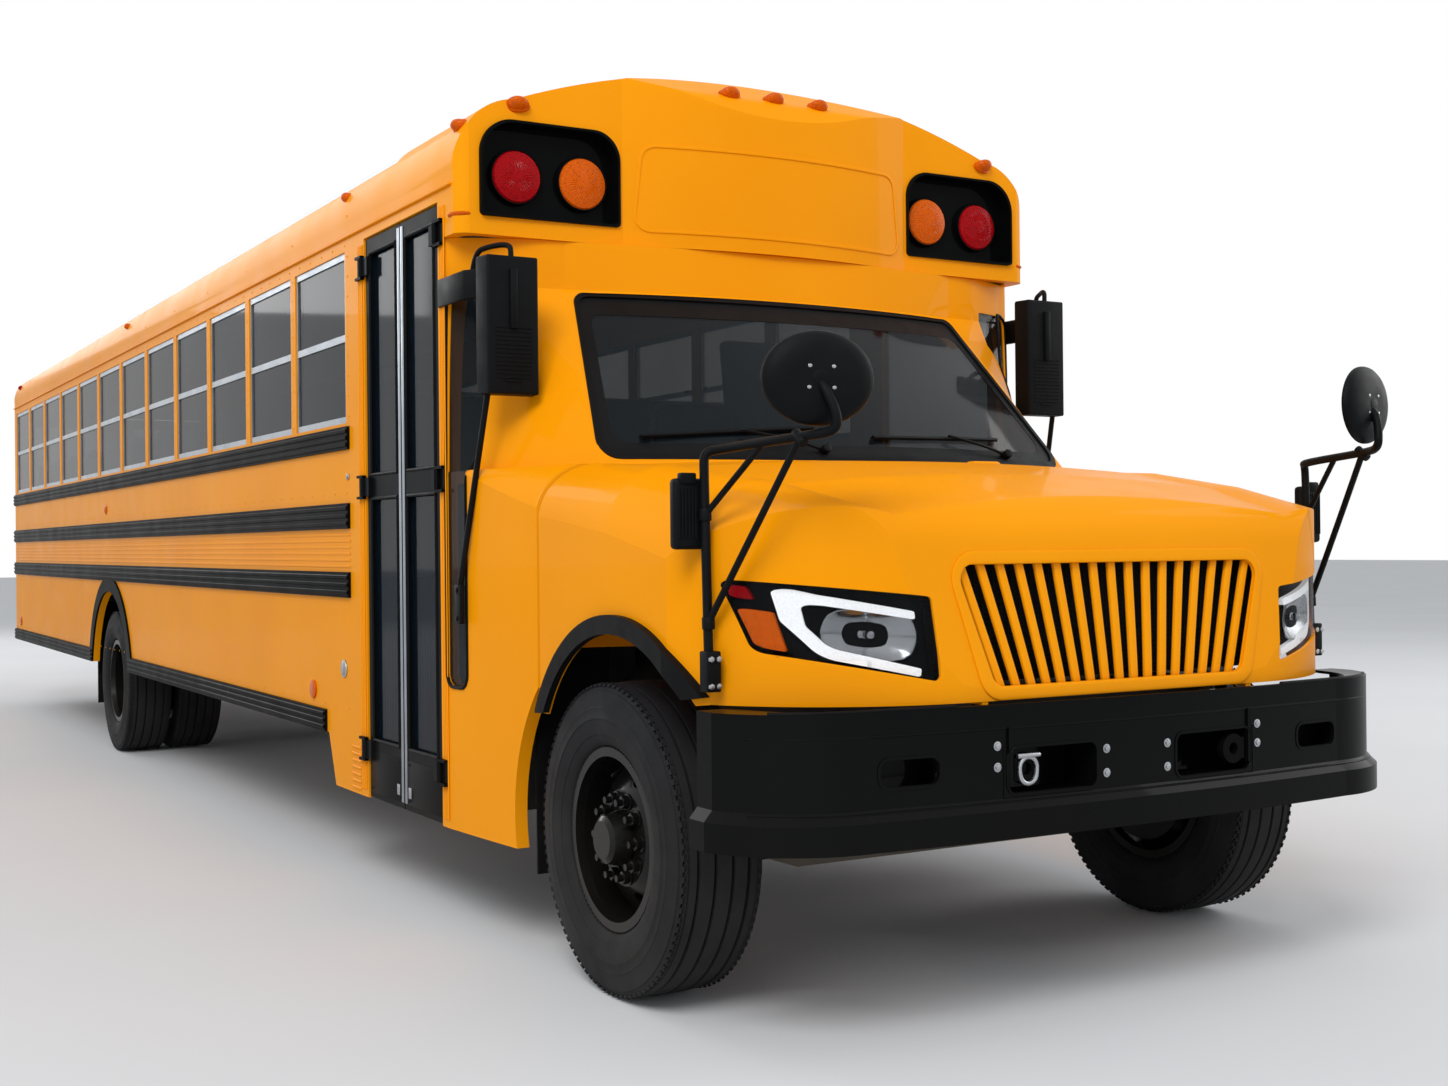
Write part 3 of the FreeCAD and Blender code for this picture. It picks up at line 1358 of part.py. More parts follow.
def mud_flaps():
    """Rubber flaps behind the front and rear wheels."""
    flaps = []
    for s in (-1, 1):
        x = sorted((s * (half_width - 360), s * (half_width - 103)))
        flaps.append(box(x, (at(cab_arch - 26), at(cab_arch - 18)), (250, toe_height + 1.6)))
        x = sorted((s * (half_width - 520), s * (half_width - 50)))
        flaps.append(box(x, (at(wheelbase + 720), at(wheelbase + 730)), (250, floor_height - 42.3)))
    return Part.makeCompound(flaps)


# ---- Inside ----
seat_pitch = 750.0
seat_first = 2420.0
seat_count = 11


def passenger_seats():
    """Two-place padded bench seats, cushion and tall back, in pairs across the aisle."""
    seats = []
    for side in (-1, 1):
        x = sorted((side * 215, side * (inner_half - 20)))
        for k in range(seat_count):
            y = at(seat_first + k * seat_pitch)
            cushion = box(x, (y, y + 390), (floor_height + 310, floor_height + 430))
            back = along_x([(y + 395, floor_height + 330), (y + 480, floor_height + 330),
                            (y + 555, floor_height + 1010, 30),
                            (y + 465, floor_height + 1010, 30)], *x)
            seats.append(joined([cushion, back, box(x, (y + 380, y + 400),
                                                    (floor_height + 340, floor_height + 420))]))
    return Part.makeCompound(seats)


def seat_legs():
    """Steel seat frames on the floor, one aisle stand and one wall rail a seat."""
    stands = []
    for side in (-1, 1):
        for k in range(seat_count):
            y = at(seat_first + k * seat_pitch)
            raised = abs(y + 220 - at(wheelbase)) < 850
            for x in (260, 560 - 60):
                xs = sorted((side * x, side * (x + 30)))
                stands.append(box(xs, (y + 60, y + 400), (floor_height + 0.3, floor_height + 309.7)))
    return Part.makeCompound(stands)


def driver_seat():
    """Driver's high-back seat on a pedestal."""
    x = (inner_half - 850, inner_half - 330)
    y = at(1330)
    pedestal = box((x[0] + 100, x[1] - 100), (y + 60, y + 380), (floor_height + 0.3, floor_height + 330))
    cushion = along_z([(x[0], y, 60), (x[1], y, 60), (x[1], y + 470, 40), (x[0], y + 470, 40)],
                      floor_height + 330, floor_height + 450)
    back = along_x([(y + 430, floor_height + 440), (y + 540, floor_height + 440),
                    (y + 640, floor_height + 1180, 40),
                    (y + 560, floor_height + 1180, 40)], *x)
    return joined([pedestal, cushion, back])


def dashboard():
    """Dash board across the cab with an instrument hood and the steering column."""
    board = along_x([(at(200), 1180), (at(700), 1080), (at(800), 1080), (at(800), 1330, 40),
                     (at(640), 1440, 50),
                     (at(200), 1440)], -half_width, half_width)
    hood_block = box((360, 820), (at(620), at(800)), (1400, 1500))
    column = rod(42, column_point(-480), column_point(-60))
    board = board.common(cab_lower(wall + seat_clear, 900, cowl_top - wall - 2)).common(cowl_round(wall + seat_clear))
    return joined([board, hood_block, column])





def column_point(along):
    """Point on the steering column's line, measured from the steering wheel's centre."""
    lean = math.radians(90 - column_tilt)
    return V(wheel_centre[0], at(wheel_centre[1]) + along * math.cos(lean),
             wheel_centre[2] + along * math.sin(lean))


def steering_wheel():
    """Rim, three spokes and a hub square to the column."""
    centre = column_point(0)
    lean = math.radians(90 - column_tilt)
    axis = V(0, math.cos(lean), math.sin(lean))
    rim = Part.makeTorus(steering_radius, 15, centre, axis)
    hub = Part.makeCylinder(52, 50, column_point(-60 + seat_clear), axis)
    spokes = []
    side = V(1, 0, 0)
    up = axis.cross(side)
    for turn in (-25, 205, 90):
        way = side * math.cos(math.radians(turn)) + up * math.sin(math.radians(turn))
        spokes.append(rod(11, centre + axis * -20 + way * 40, centre + way * (steering_radius - 4)))
    return joined([rim, hub, *spokes])


# ---- Mirrors and small outside pieces ----
def side_mirrors():
    """Tall flat mirrors on box arms and braces at both front corners of the body."""
    x0, x1 = 1035.0, 1208.0
    front = 715.0
    housing = along_z([(x0, at(front), 30), (x1, at(front), 30), (x1, at(front + 70)),
                       (x0, at(front + 70))], 1800, 2200)
    arm = along_z([(1120, at(front + 50)), (1170, at(front + 50)), (half_width + 14, at(860)),
                   (half_width + 14, at(1110)),
                   (half_width + 0.3, at(1110)), (half_width + 0.3, at(900))], 2136, 2176)
    brace = rod(11, (half_width + 13, at(930), 1124), (1205 - 14, at(front + 40), 1812))
    foot = box((1180, half_width + 24), (at(905), at(960)), (1095, 1155)).cut(cab_lower(-seat_clear))
    brace = brace.cut(cab_lower(-3))
    one = joined([housing, arm, brace, foot])
    return Part.makeCompound(both(one))


def crossover_mirrors():
    """Oval dome mirrors on bent tubes and braces, standing on both fenders."""
    corner, knee, tip = (1130, at(-525), 1500), (1100, at(-530), 1528), (1012, at(-905), 1550)
    tube = chain([(1130, at(-545), 930), corner, knee, tip, (1003, at(-915), 1590),
                  (1003, at(-900), 1660)], 13)
    brace_a = rod(9, (1130, at(-530), 1360), (1060, at(-700), 1535))
    brace_b = rod(9, (1130, at(-540), 1080), (1030, at(-830), 1545))
    shell = rod(146, (1002, at(-905), 1690), (1002, at(-865), 1690))
    foot = box((1060, 1150), (at(-572), at(-530)), (895, 965))
    one = joined([tube, brace_a, brace_b, shell, foot.cut(hood_form(-seat_clear))])
    return Part.makeCompound(both(one))




def hinge_set(place, away, outward, face, heights):
    """Fixed hinge halves on one upright axis: a plate on the wall, two lugs and the pin between them.

    away points along the wall from the axis to the plate and outward points out of the wall; face is how far
    the wall's face lies behind the axis.
    """
    away, outward = V(*away), V(*outward)
    centre = V(place[0], place[1], 0)
    sets = []
    for z in heights:
        plate = slab_between(centre + away * 12 - outward * (face - seat_clear),
                             centre + away * 60 - outward * (face - 6),
                             (z - knuckle_half - 10, z + knuckle_half + 10))
        lugs = [slab_between(centre - away * 5 - outward * (face - seat_clear),
                             centre + away * 60 + outward * 5, (low, low + 10))
                for low in (z - knuckle_half - 10, z + knuckle_half)]
        pin = Part.makeCylinder(door_pin, 2 * knuckle_half + 20, centre + V(0, 0, z - knuckle_half - 10))
        sets.append(joined([plate, *lugs, pin]))
    return sets


def slab_between(a, b, z):
    """Block between two points' X and Y values and two heights."""
    return box(sorted((a.x, b.x)), sorted((a.y, b.y)), z)


def hinge_knuckles(leaf_shape, place, toward, outward, sunk, heights):
    """A leaf with the moving hinge halves added: a bored barrel and a strap onto the leaf's face."""
    toward, outward = V(*toward), V(*outward)
    centre = V(place[0], place[1], 0)
    for z in heights:
        low, high = z - knuckle_half + 0.5, z + knuckle_half - 0.5
        barrel = Part.makeCylinder(knuckle_radius, high - low, centre + V(0, 0, low))
        strap = slab_between(centre - outward * (sunk + 1) + toward * 2,
                             centre - outward * 2 + toward * 60, (low, high))
        bore = Part.makeCylinder(door_pin + pivot_clear, high - low + 2, centre + V(0, 0, low - 1))
        leaf_shape = leaf_shape.fuse([barrel, strap]).cut(bore)
    return leaf_shape


def door_hinges():
    """Fixed halves of every hinge of the entrance leaves and the emergency door."""
    x = -half_width - hinge_out
    sets = hinge_set((x, at(door_front)), (0, -1, 0), (-1, 0, 0), hinge_out, entry_hinge_z)
    sets += hinge_set((x, at(door_rear)), (0, 1, 0), (-1, 0, 0), hinge_out, entry_hinge_z)
    sets += hinge_set((-rear_door_half, at(body_rear) + hinge_out), (-1, 0, 0), (0, 1, 0), hinge_out,
                      rear_hinge_z)
    return sets


def stop_bracket():
    """Hinge bracket of the stop sign on the left side, with its pin."""
    x = half_width + seat_clear
    pin_x = half_width + stop_pin_x
    plate = box((x, x + 24), (at(stop_arm_y) - 40, at(stop_arm_y) + 30),
                (stop_arm_z - 170, stop_arm_z + 170))
    lugs = [box((x + 20, pin_x + 20), (at(stop_arm_y) - 16, at(stop_arm_y) + 16),
                (stop_arm_z + e - 10, stop_arm_z + e + 10))
            for e in (-150, 150)]
    pin = rod(8, (pin_x, at(stop_arm_y), stop_arm_z - 160), (pin_x, at(stop_arm_y), stop_arm_z + 160))
    return joined([plate, *lugs, pin])


def stop_sign():
    """Blank eight-sided board folded rearward against the body, sleeved on the bracket's pin."""
    x = half_width + stop_pin_x
    centre = at(stop_arm_y) + 34 + stop_radius
    corners = []
    for k in range(8):
        turn = math.radians(22.5 + 45 * k)
        reach = stop_radius / math.cos(math.radians(22.5))
        corners.append((centre + reach * math.cos(turn), stop_arm_z + reach * math.sin(turn)))
    board = along_x(corners, x - 6, x + 6)
    sleeve = rod(15, (x, at(stop_arm_y), stop_arm_z - 110), (x, at(stop_arm_y), stop_arm_z + 110))
    arm = box((x - 5, x + 5), (at(stop_arm_y), centre - 120), (stop_arm_z - 80, stop_arm_z + 80))
    bore = rod(8 + pivot_clear, (x, at(stop_arm_y), stop_arm_z - 120),
               (x, at(stop_arm_y), stop_arm_z + 120))
    return joined([board, sleeve, arm]).cut(bore)


def build():
    """Every node and its shape."""
    front_left_tyre = tyre(front_wheel_x)
    return {
        "frame_rails": frame_rails(),
        "leaf_springs": leaf_springs(),
        "front_axle": front_axle(),
        "rear_axle": rear_axle(),
        "driveshaft": driveshaft(),
        "engine_block": engine_block(),
        "radiator": radiator(),
        "fuel_tank": fuel_tank(),
        "exhaust": exhaust(),
        "knuckle_left": knuckle(),
        "knuckle_right": mirrored(knuckle()),
        "tie_rod": tie_rod(),
        "front_wheel_left": front_wheel(1),
        "front_wheel_right": front_wheel(-1),
        "front_tyre_left": front_left_tyre,
        "front_tyre_right": mirrored(front_left_tyre),
        "rear_wheels_left": rear_wheel(1),
        "rear_wheels_right": rear_wheel(-1),
        "rear_tyres_left": rear_tyres(1),
        "rear_tyres_right": rear_tyres(-1),
        "floor": Part.makeCompound([floor(), dash_floor()]),
        "entry_steps": entry_steps(),
        "side_wall_left": side_wall(1),
        "side_wall_right": side_wall(-1),
        "roof": roof(),
        "rear_wall": rear_wall(),
        "cab_shell": cab_shell(),
        "front_cap": front_cap(),
        "cab_glass": Part.makeCompound([windshield(), *vision_glass()]),
        "side_glass": side_glass(),
        "window_frames": window_frames(),
        "rub_rails": rub_rails(),
        "front_bumper": front_bumper(),
        "front_fittings": Part.makeCompound([hood_hinge(), tow_hooks()]),
        "rear_bumper": rear_bumper(),
        "lamp_trays": lamp_trays(),
        "amber_lamps": warning_lamps(0),
        "red_lamps": Part.makeCompound([warning_lamps(1), tail_lamps()]),
        "mud_flaps": mud_flaps(),
        "side_mirrors": side_mirrors(),
        "dashboard": dashboard(),
        "driver_seat": driver_seat(),
        "passenger_seats": passenger_seats(),
        "seat_legs": seat_legs(),
        "steering_wheel": steering_wheel(),
        "hood": hood(),
        "grille": grille(),
        "headlamps": headlamps(),
        "front_flares": front_flares(),
        "crossover_mirrors": crossover_mirrors(),
        "entry_door_front": entry_leaf_shape(True),
        "entry_door_rear": entry_leaf_shape(False),
        "entry_glass_front": entry_leaf_glass(True),
        "entry_glass_rear": entry_leaf_glass(False),
        "rear_door": rear_door(),
        "rear_door_glass": rear_door_glass(),
        "hatch_front": roof_hatch(hatch_stations[0]),
        "hatch_rear": roof_hatch(hatch_stations[1]),
        "hinges": Part.makeCompound([*door_hinges(), stop_bracket()]),
        "stop_sign": stop_sign(),
    }


os.makedirs("parts", exist_ok=True)
for name, shape in build().items():
    shape.exportStep("parts/" + name + ".step")
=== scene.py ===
"""Looks of the long-nosed school bus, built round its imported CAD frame. Metres, +Z up, front towards -Y."""
import math

import bpy
from mathutils import Matrix, Vector


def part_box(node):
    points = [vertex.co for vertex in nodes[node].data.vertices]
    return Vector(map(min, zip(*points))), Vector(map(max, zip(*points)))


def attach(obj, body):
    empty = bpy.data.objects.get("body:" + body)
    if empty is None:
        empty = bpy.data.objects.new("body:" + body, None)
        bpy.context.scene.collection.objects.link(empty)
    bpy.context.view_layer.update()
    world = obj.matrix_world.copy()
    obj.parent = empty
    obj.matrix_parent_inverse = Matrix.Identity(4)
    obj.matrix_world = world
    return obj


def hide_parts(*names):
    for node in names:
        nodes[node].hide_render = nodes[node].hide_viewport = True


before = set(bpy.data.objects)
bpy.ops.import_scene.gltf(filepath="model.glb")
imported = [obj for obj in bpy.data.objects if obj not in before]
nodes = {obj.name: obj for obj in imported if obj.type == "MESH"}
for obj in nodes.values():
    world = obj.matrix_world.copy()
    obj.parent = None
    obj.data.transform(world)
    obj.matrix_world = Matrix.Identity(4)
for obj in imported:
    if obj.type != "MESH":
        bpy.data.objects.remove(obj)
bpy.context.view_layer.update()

# ---- Places on the bus, in metres; a station is measured rearward from the front axle ----
FRONT_AXLE_Y = -5.180
WHEELBASE = 7.010
HALF_WIDTH = 1.220
BODY_REAR = 11.190


def at(station):
    """Frame Y of a station."""
    return FRONT_AXLE_Y + station


# ---- Camera: place in metres, turn in radians, sensor and lens in millimetres ----
CAMERA_PLACE, CAMERA_TURN = (-3.29317, -9.49643, 1.28418), (1.571641, 0.009720, -0.530249)
bpy.ops.object.camera_add(location=CAMERA_PLACE, rotation=CAMERA_TURN)
camera = bpy.context.object
camera.data.sensor_width = 36.0
camera.data.lens = 41.95
camera.data.clip_end = 200.0
bpy.context.scene.camera = camera

# ---- Light: pale world, one large soft key and two fills ----
scene = bpy.context.scene
scene.view_settings.view_transform = "Standard"


def linear(code):
    """Linear colour of an sRGB hex code."""
    parts = [int(code[i:i + 2], 16) / 255 for i in (0, 2, 4)]
    return tuple(p / 12.92 if p <= 0.04045 else ((p + 0.055) / 1.055) ** 2.4 for p in parts) + (1.0,)


def add(tree, kind, feeds=None, **settings):
    """Adds a shader node with its settings; a feed is a socket to link from or a plain value."""
    made = tree.nodes.new("ShaderNode" + kind)
    for key, value in settings.items():
        setattr(made, key, value)
    for socket, feed in (feeds or {}).items():
        if isinstance(feed, bpy.types.NodeSocket):
            tree.links.new(feed, made.inputs[socket])
        else:
            made.inputs[socket].default_value = feed
    return made


world = bpy.data.worlds.new("studio")
scene.world = world
world.use_nodes = True
sky = world.node_tree
sky.nodes.clear()
rays = add(sky, "LightPath")
seen = add(sky, "Math", {0: rays.outputs["Is Camera Ray"], 1: rays.outputs["Is Transmission Ray"]}, operation="MAXIMUM")
seen = add(sky, "Math", {0: seen.outputs[0], 1: rays.outputs["Is Glossy Ray"]}, operation="MAXIMUM")
soft = add(sky, "Background", {"Color": linear("F4F7FB"), "Strength": 0.62})
pale = add(sky, "Background", {"Color": linear("FFFFFF"), "Strength": 1.0})
mixed = add(sky, "MixShader", {0: seen.outputs[0], 1: soft.outputs[0], 2: pale.outputs[0]})
add(sky, "OutputWorld", {0: mixed.outputs[0]})

LAMPS = [("key", (-9.0, -13.0, 12.0), (0.0, -4.0, 1.2), 7.0, 1500.0),
         ("left_fill", (13.0, -6.0, 7.0), (0.0, -1.0, 1.0), 9.0, 550.0),
         ("rear_fill", (-4.0, 16.0, 9.0), (0.0, 3.0, 1.4), 9.0, 650.0)]
for name, place, aim, size, power in LAMPS:
    bpy.ops.object.light_add(type="AREA", location=place)
    lamp = bpy.context.object
    lamp.name = name
    lamp.data.size = size
    lamp.data.energy = power
    lamp.rotation_euler = (Vector(aim) - Vector(place)).to_track_quat("-Z", "Y").to_euler()


# ---- Finishes ----
ROAD_DUST, RUBBER_DUST = "A48B63", "7C7468"


def finish(name, base, roughness, metallic=0.0, ior=1.5, coat=0.0, shine=0.5):
    """Starts a finish on the bus's own coordinates; returns the material, its tree, shader and coordinates."""
    material = bpy.data.materials.new(name)
    material.use_nodes = True
    tree = material.node_tree
    shader = tree.nodes["Principled BSDF"]
    values = {"Base Color": linear(base), "Roughness": roughness, "Metallic": metallic, "IOR": ior,
              "Specular IOR Level": shine, "Coat Weight": coat, "Coat Roughness": 0.04}
    for socket, value in values.items():
        shader.inputs[socket].default_value = value
    place = add(tree, "TexCoord").outputs["Object"]
    return material, tree, shader, place


def cloud(tree, place, per_metre, low, high, detail=3.0, stretch=(1, 1, 1)):
    """Soft noise between two values, with a size given as repeats in a metre."""
    spread = add(tree, "Mapping", {"Vector": place, "Scale": stretch}).outputs[0]
    noise = add(tree, "TexNoise", {"Vector": spread, "Scale": per_metre, "Detail": detail})
    return add(tree, "MapRange", {"Value": noise.outputs[0], 1: 0.3, 2: 0.7, 3: low, 4: high}).outputs[0]


def tint(tree, shader, factor, base, second):
    """Base colour that goes from one hex colour to another by a factor."""
    blend = add(tree, "Mix", {0: factor, 6: linear(base), 7: linear(second)}, data_type="RGBA")
    tree.links.new(blend.outputs[2], shader.inputs["Base Color"])
    return blend.outputs[2]


def relief(tree, shader, height, depth, strength=1.0):
    """Surface relief of a depth in metres."""
    bump = add(tree, "Bump", {"Height": height, "Distance": depth, "Strength": strength})
    tree.links.new(bump.outputs[0], shader.inputs["Normal"])


def dusted(tree, shader, place, colour, dust, top, amount):
    """Lays patchy dust over a colour, fading out above a height."""
    parts = add(tree, "SeparateXYZ", {0: place})
    fade = add(tree, "MapRange", {"Value": parts.outputs["Z"], 1: 0.25, 2: top, 3: amount, 4: 0.0}).outputs[0]
    patch = cloud(tree, place, 3.0, 0.35, 1.0, 6.0)
    dirty = add(tree, "Math", {0: fade, 1: patch}, operation="MULTIPLY").outputs[0]
    mix = add(tree, "Mix", {0: dirty, 6: colour, 7: linear(dust)}, data_type="RGBA")
    tree.links.new(mix.outputs[2], shader.inputs["Base Color"])


def enamel(name, base, second, roughness, coat, dust_top=1.0, dust_amount=0.10, shine=0.5):
    """Sprayed enamel: an even colour under a thin clear coat, with fine orange peel and road dust low down."""
    material, tree, shader, place = finish(name, base, roughness, coat=coat, shine=shine)
    colour = tint(tree, shader, cloud(tree, place, 0.9, 0.0, 1.0), base, second)
    dusted(tree, shader, place, colour, ROAD_DUST, dust_top, dust_amount)
    tree.links.new(cloud(tree, place, 5.0, roughness - 0.04, roughness + 0.06), shader.inputs["Roughness"])
    peel = cloud(tree, place, 180.0, 0.0, 1.0, 1.0)
    relief(tree, shader, peel, 0.00012, 0.35)
    return material


def rubber_like(name, base, second, roughness, grain_per_metre, depth, dust_top=1.2, dust_amount=0.22, shine=0.14):
    """Moulded rubber or plastic: matt, finely grained, greyed a little by dust."""
    material, tree, shader, place = finish(name, base, roughness, ior=1.52, shine=shine)
    colour = tint(tree, shader, cloud(tree, place, 6.0, 0.0, 1.0, 5.0), base, second)
    dusted(tree, shader, place, colour, RUBBER_DUST, dust_top, dust_amount)
    tree.links.new(cloud(tree, place, 14.0, roughness - 0.08, roughness + 0.06), shader.inputs["Roughness"])
    relief(tree, shader, cloud(tree, place, grain_per_metre, 0.0, 1.0, 2.0), depth)
    return material


def bare_metal(name, base, second, roughness, stretch=(1, 1, 1), per_metre=160.0, depth=0.0001):
    """Metal with a drawn or brushed grain along its stretch."""
    material, tree, shader, place = finish(name, base, roughness, metallic=1.0)
    grain = cloud(tree, place, per_metre, 0.0, 1.0, 4.0, stretch)
    tint(tree, shader, cloud(tree, place, 7.0, 0.0, 1.0, 4.0), base, second)
    tree.links.new(add(tree, "MapRange", {"Value": grain, 3: roughness - 0.07, 4: roughness + 0.09}).outputs[0],
                   shader.inputs["Roughness"])
    relief(tree, shader, grain, depth)
    return material


def glazing(name, base, roughness, tone, clear, shine):
    """Tinted safety glass: see-through by the clear share, closing towards grazing views. Where its base is dark
    blue-grey, as on the windows and windshield, that cover is partly real tint and partly a painted reflection of the
    sky.
    """
    material, tree, shader, place = finish(name, base, roughness, shine=shine)
    wash = cloud(tree, place, 1.3, 1.0 - clear - 0.03, 1.0 - clear + 0.05, 3.0)
    edge = add(tree, "LayerWeight", {"Blend": tone}).outputs["Facing"]
    cover = add(tree, "Math", {0: wash, 1: edge}, operation="MAXIMUM").outputs[0]
    tree.links.new(cover, shader.inputs["Alpha"])
    material.surface_render_method = "BLENDED"
    return material


def lens(name, base, deep, roughness=0.12, glow=0.04):
    """Moulded polycarbonate lens: saturated, with fine prisms pressed in its back."""
    material, tree, shader, place = finish(name, base, roughness, ior=1.58, coat=0.05, shine=0.05)
    prism = add(tree, "TexVoronoi", {"Vector": place, "Scale": 190.0}).outputs["Distance"]
    tint(tree, shader, prism, base, deep)
    shader.inputs["Emission Color"].default_value = linear(base)
    shader.inputs["Emission Strength"].default_value = glow
    relief(tree, shader, prism, 0.0006, 0.6)
    return material


YELLOW, YELLOW_DEEP, ROOF_WHITE = "F89D08", "F19604", "E9EBEC"
WHITE_ABOVE, WHITE_BEHIND = 2.705, 1.66
body_enamel = enamel("body_enamel", YELLOW, YELLOW_DEEP, 0.36, 0.10, dust_amount=0.04, shine=0.015)
white_enamel = enamel("white_roof_enamel", ROOF_WHITE, "DFE2E4", 0.42, 0.3)


def two_tone_roof():
    """Roof enamel: white above a height and behind a station, yellow elsewhere."""
    material = enamel("two_tone_roof_enamel", YELLOW, YELLOW_DEEP, 0.36, 0.10, shine=0.015)
    tree = material.node_tree
    shader = tree.nodes["Principled BSDF"]
    place = add(tree, "TexCoord").outputs["Object"]
    parts = add(tree, "SeparateXYZ", {0: place})
    high = add(tree, "Math", {0: parts.outputs["Z"], 1: WHITE_ABOVE}, operation="GREATER_THAN")
    behind = add(tree, "Math", {0: parts.outputs["Y"], 1: at(WHITE_BEHIND)}, operation="GREATER_THAN")
    white = add(tree, "Math", {0: high.outputs[0], 1: behind.outputs[0]}, operation="MULTIPLY")
    yellow = shader.inputs["Base Color"].links[0].from_socket
    blend = add(tree, "Mix", {0: white.outputs[0], 6: yellow, 7: linear(ROOF_WHITE)}, data_type="RGBA")
    tree.links.new(blend.outputs[2], shader.inputs["Base Color"])
    return material


roof_enamel = two_tone_roof()
black_gloss = enamel("black_gloss_enamel", "08090A", "0C0D0E", 0.40, 0.06, dust_amount=0.01, shine=0.01)
bumper_enamel = enamel("bumper_enamel", "060707", "0A0B0B", 0.30, 0.12, dust_top=0.9, dust_amount=0.006, shine=0.02)
wheel_enamel = enamel("wheel_enamel", "08090A", "0E0F10", 0.24, 0.05, dust_top=0.8, dust_amount=0.015, shine=0.20)
chassis_paint = enamel("chassis_paint", "17181A", "232426", 0.55, 0.05, dust_top=1.0, dust_amount=0.30)
door_paint = enamel("door_frame_enamel", "0D1012", "121518", 0.42, 0.05, dust_amount=0.02, shine=0.02)
tyre_rubber = rubber_like("tyre_rubber", "141518", "1B1C1F", 0.74, 420.0, 0.0003, 0.9, 0.08)
trim_rubber = rubber_like("trim_rubber", "0B0C0E", "101113", 0.50, 500.0, 0.0002, 1.2, 0.03, 0.06)
moulded_black = rubber_like("moulded_black_plastic", "0A0B0C", "101214", 0.46, 650.0, 0.00025, 0.6, 0.03, 0.07)
dash_plastic = rubber_like("dash_plastic", "2E3135", "383B40", 0.62, 800.0, 0.0003, 0.6, 0.02)
spring_steel = bare_metal("spring_steel", "4A4B4D", "39383A", 0.48, (1, 12, 1))
cast_iron = rubber_like("cast_iron_block", "3A3B3D", "4A4846", 0.60, 300.0, 0.0006, 0.9, 0.2)
zinc = bare_metal("zinc_plated_steel", "B9BBBE", "9FA2A6", 0.30)
brushed_alu = bare_metal("anodised_aluminium", "AEB4BA", "98A0A8", 0.34, (1, 0.04, 1), 300.0)
chrome = bare_metal("chrome_plate", "A9ACB0", "8C9095", 0.16, per_metre=40.0, depth=0.00005)
# Painted reflection: the windows' and windshield's dark blue-grey base and low clear share stand in partly for the
# sky's dark reflection, besides the glass's real tint.
window_glass = glazing("tinted_window_glass_with_painted_reflection", "101A23", 0.05, tone=0.12, clear=0.36, shine=0.10)
screen_glass = glazing("windshield_glass", "10191E", 0.04, tone=0.10, clear=0.44, shine=0.14)
lamp_glass = glazing("clear_lamp_cover", "2A2D30", 0.05, tone=0.06, clear=0.95, shine=0.18)
amber_lens = lens("amber_lens", "E8650A", "A84804")
red_lens = lens("red_lens", "B4050F", "6E040A")
white_light = lens("white_light_strip", "F4F6F8", "DDE2E6", 0.3, glow=0.35)


def seat_cover():
    """Coated seat vinyl: even leather-like grain pressed in, with a low satin sheen."""
    material, tree, shader, place = finish("seat_vinyl", "2C3138", 0.5)
    grain = add(tree, "TexVoronoi", {"Vector": place, "Scale": 320.0}).outputs["Distance"]
    tint(tree, shader, cloud(tree, place, 9.0, 0.0, 1.0, 4.0), "2C3138", "343A42")
    shader.inputs["Sheen Weight"].default_value = 0.15
    relief(tree, shader, grain, 0.0004, 0.7)
    return material


def woven_cloth():
    """Flat-woven driver's seat cloth, drawn at a 6 mm repeat so that the weave shows."""
    material, tree, shader, place = finish("woven_seat_cloth", "24272B", 0.85)
    warp = add(tree, "TexWave", {"Vector": place, "Scale": 52.0}, bands_direction="X").outputs["Fac"]
    weft = add(tree, "TexWave", {"Vector": place, "Scale": 52.0}, bands_direction="Z").outputs["Fac"]
    weave = add(tree, "Math", {0: warp, 1: weft}, operation="MULTIPLY").outputs[0]
    tint(tree, shader, weave, "1E2125", "3A3F46")
    shader.inputs["Sheen Weight"].default_value = 0.3
    relief(tree, shader, weave, 0.0008)
    return material


def ribbed_floor():
    """Ribbed rubber flooring with 10 mm ribs along the aisle, scuffed grey."""
    material, tree, shader, place = finish("ribbed_floor_rubber", "1F2123", 0.7)
    rib = add(tree, "TexWave", {"Vector": place, "Scale": 31.0}, bands_direction="X").outputs["Fac"]
    tint(tree, shader, cloud(tree, place, 3.0, 0.0, 1.0, 5.0), "1C1E20", "33342F")
    relief(tree, shader, rib, 0.0015)
    return material


def sheet_sign():
    """Retroreflective sheeting: red with the fine honeycomb of its cells."""
    material, tree, shader, place = finish("red_reflective_sheet", "B4141C", 0.4, coat=0.4)
    cells = add(tree, "TexVoronoi", {"Vector": place, "Scale": 260.0}, feature="DISTANCE_TO_EDGE").outputs["Distance"]
    line = add(tree, "MapRange", {"Value": cells, 1: 0.0, 2: 0.08, 3: 0.25, 4: 0.0}).outputs[0]
    tint(tree, shader, line, "B4141C", "D8464A")
    return material


seat_vinyl = seat_cover()
seat_cloth = woven_cloth()
floor_rubber = ribbed_floor()
sign_sheet = sheet_sign()
sign_white = enamel("white_sign_sheet", "E9EAEA", "DFE1E2", 0.4, 0.3, dust_amount=0.02)
mirror_glass = bare_metal("silvered_mirror_glass", "DDE2E6", "CFD6DB", 0.10, per_metre=4.0, depth=0.00001)
interior_panel = rubber_like("interior_panel", "8F9496", "83888A", 0.55, 200.0, 0.0002, 0.5, 0.0)

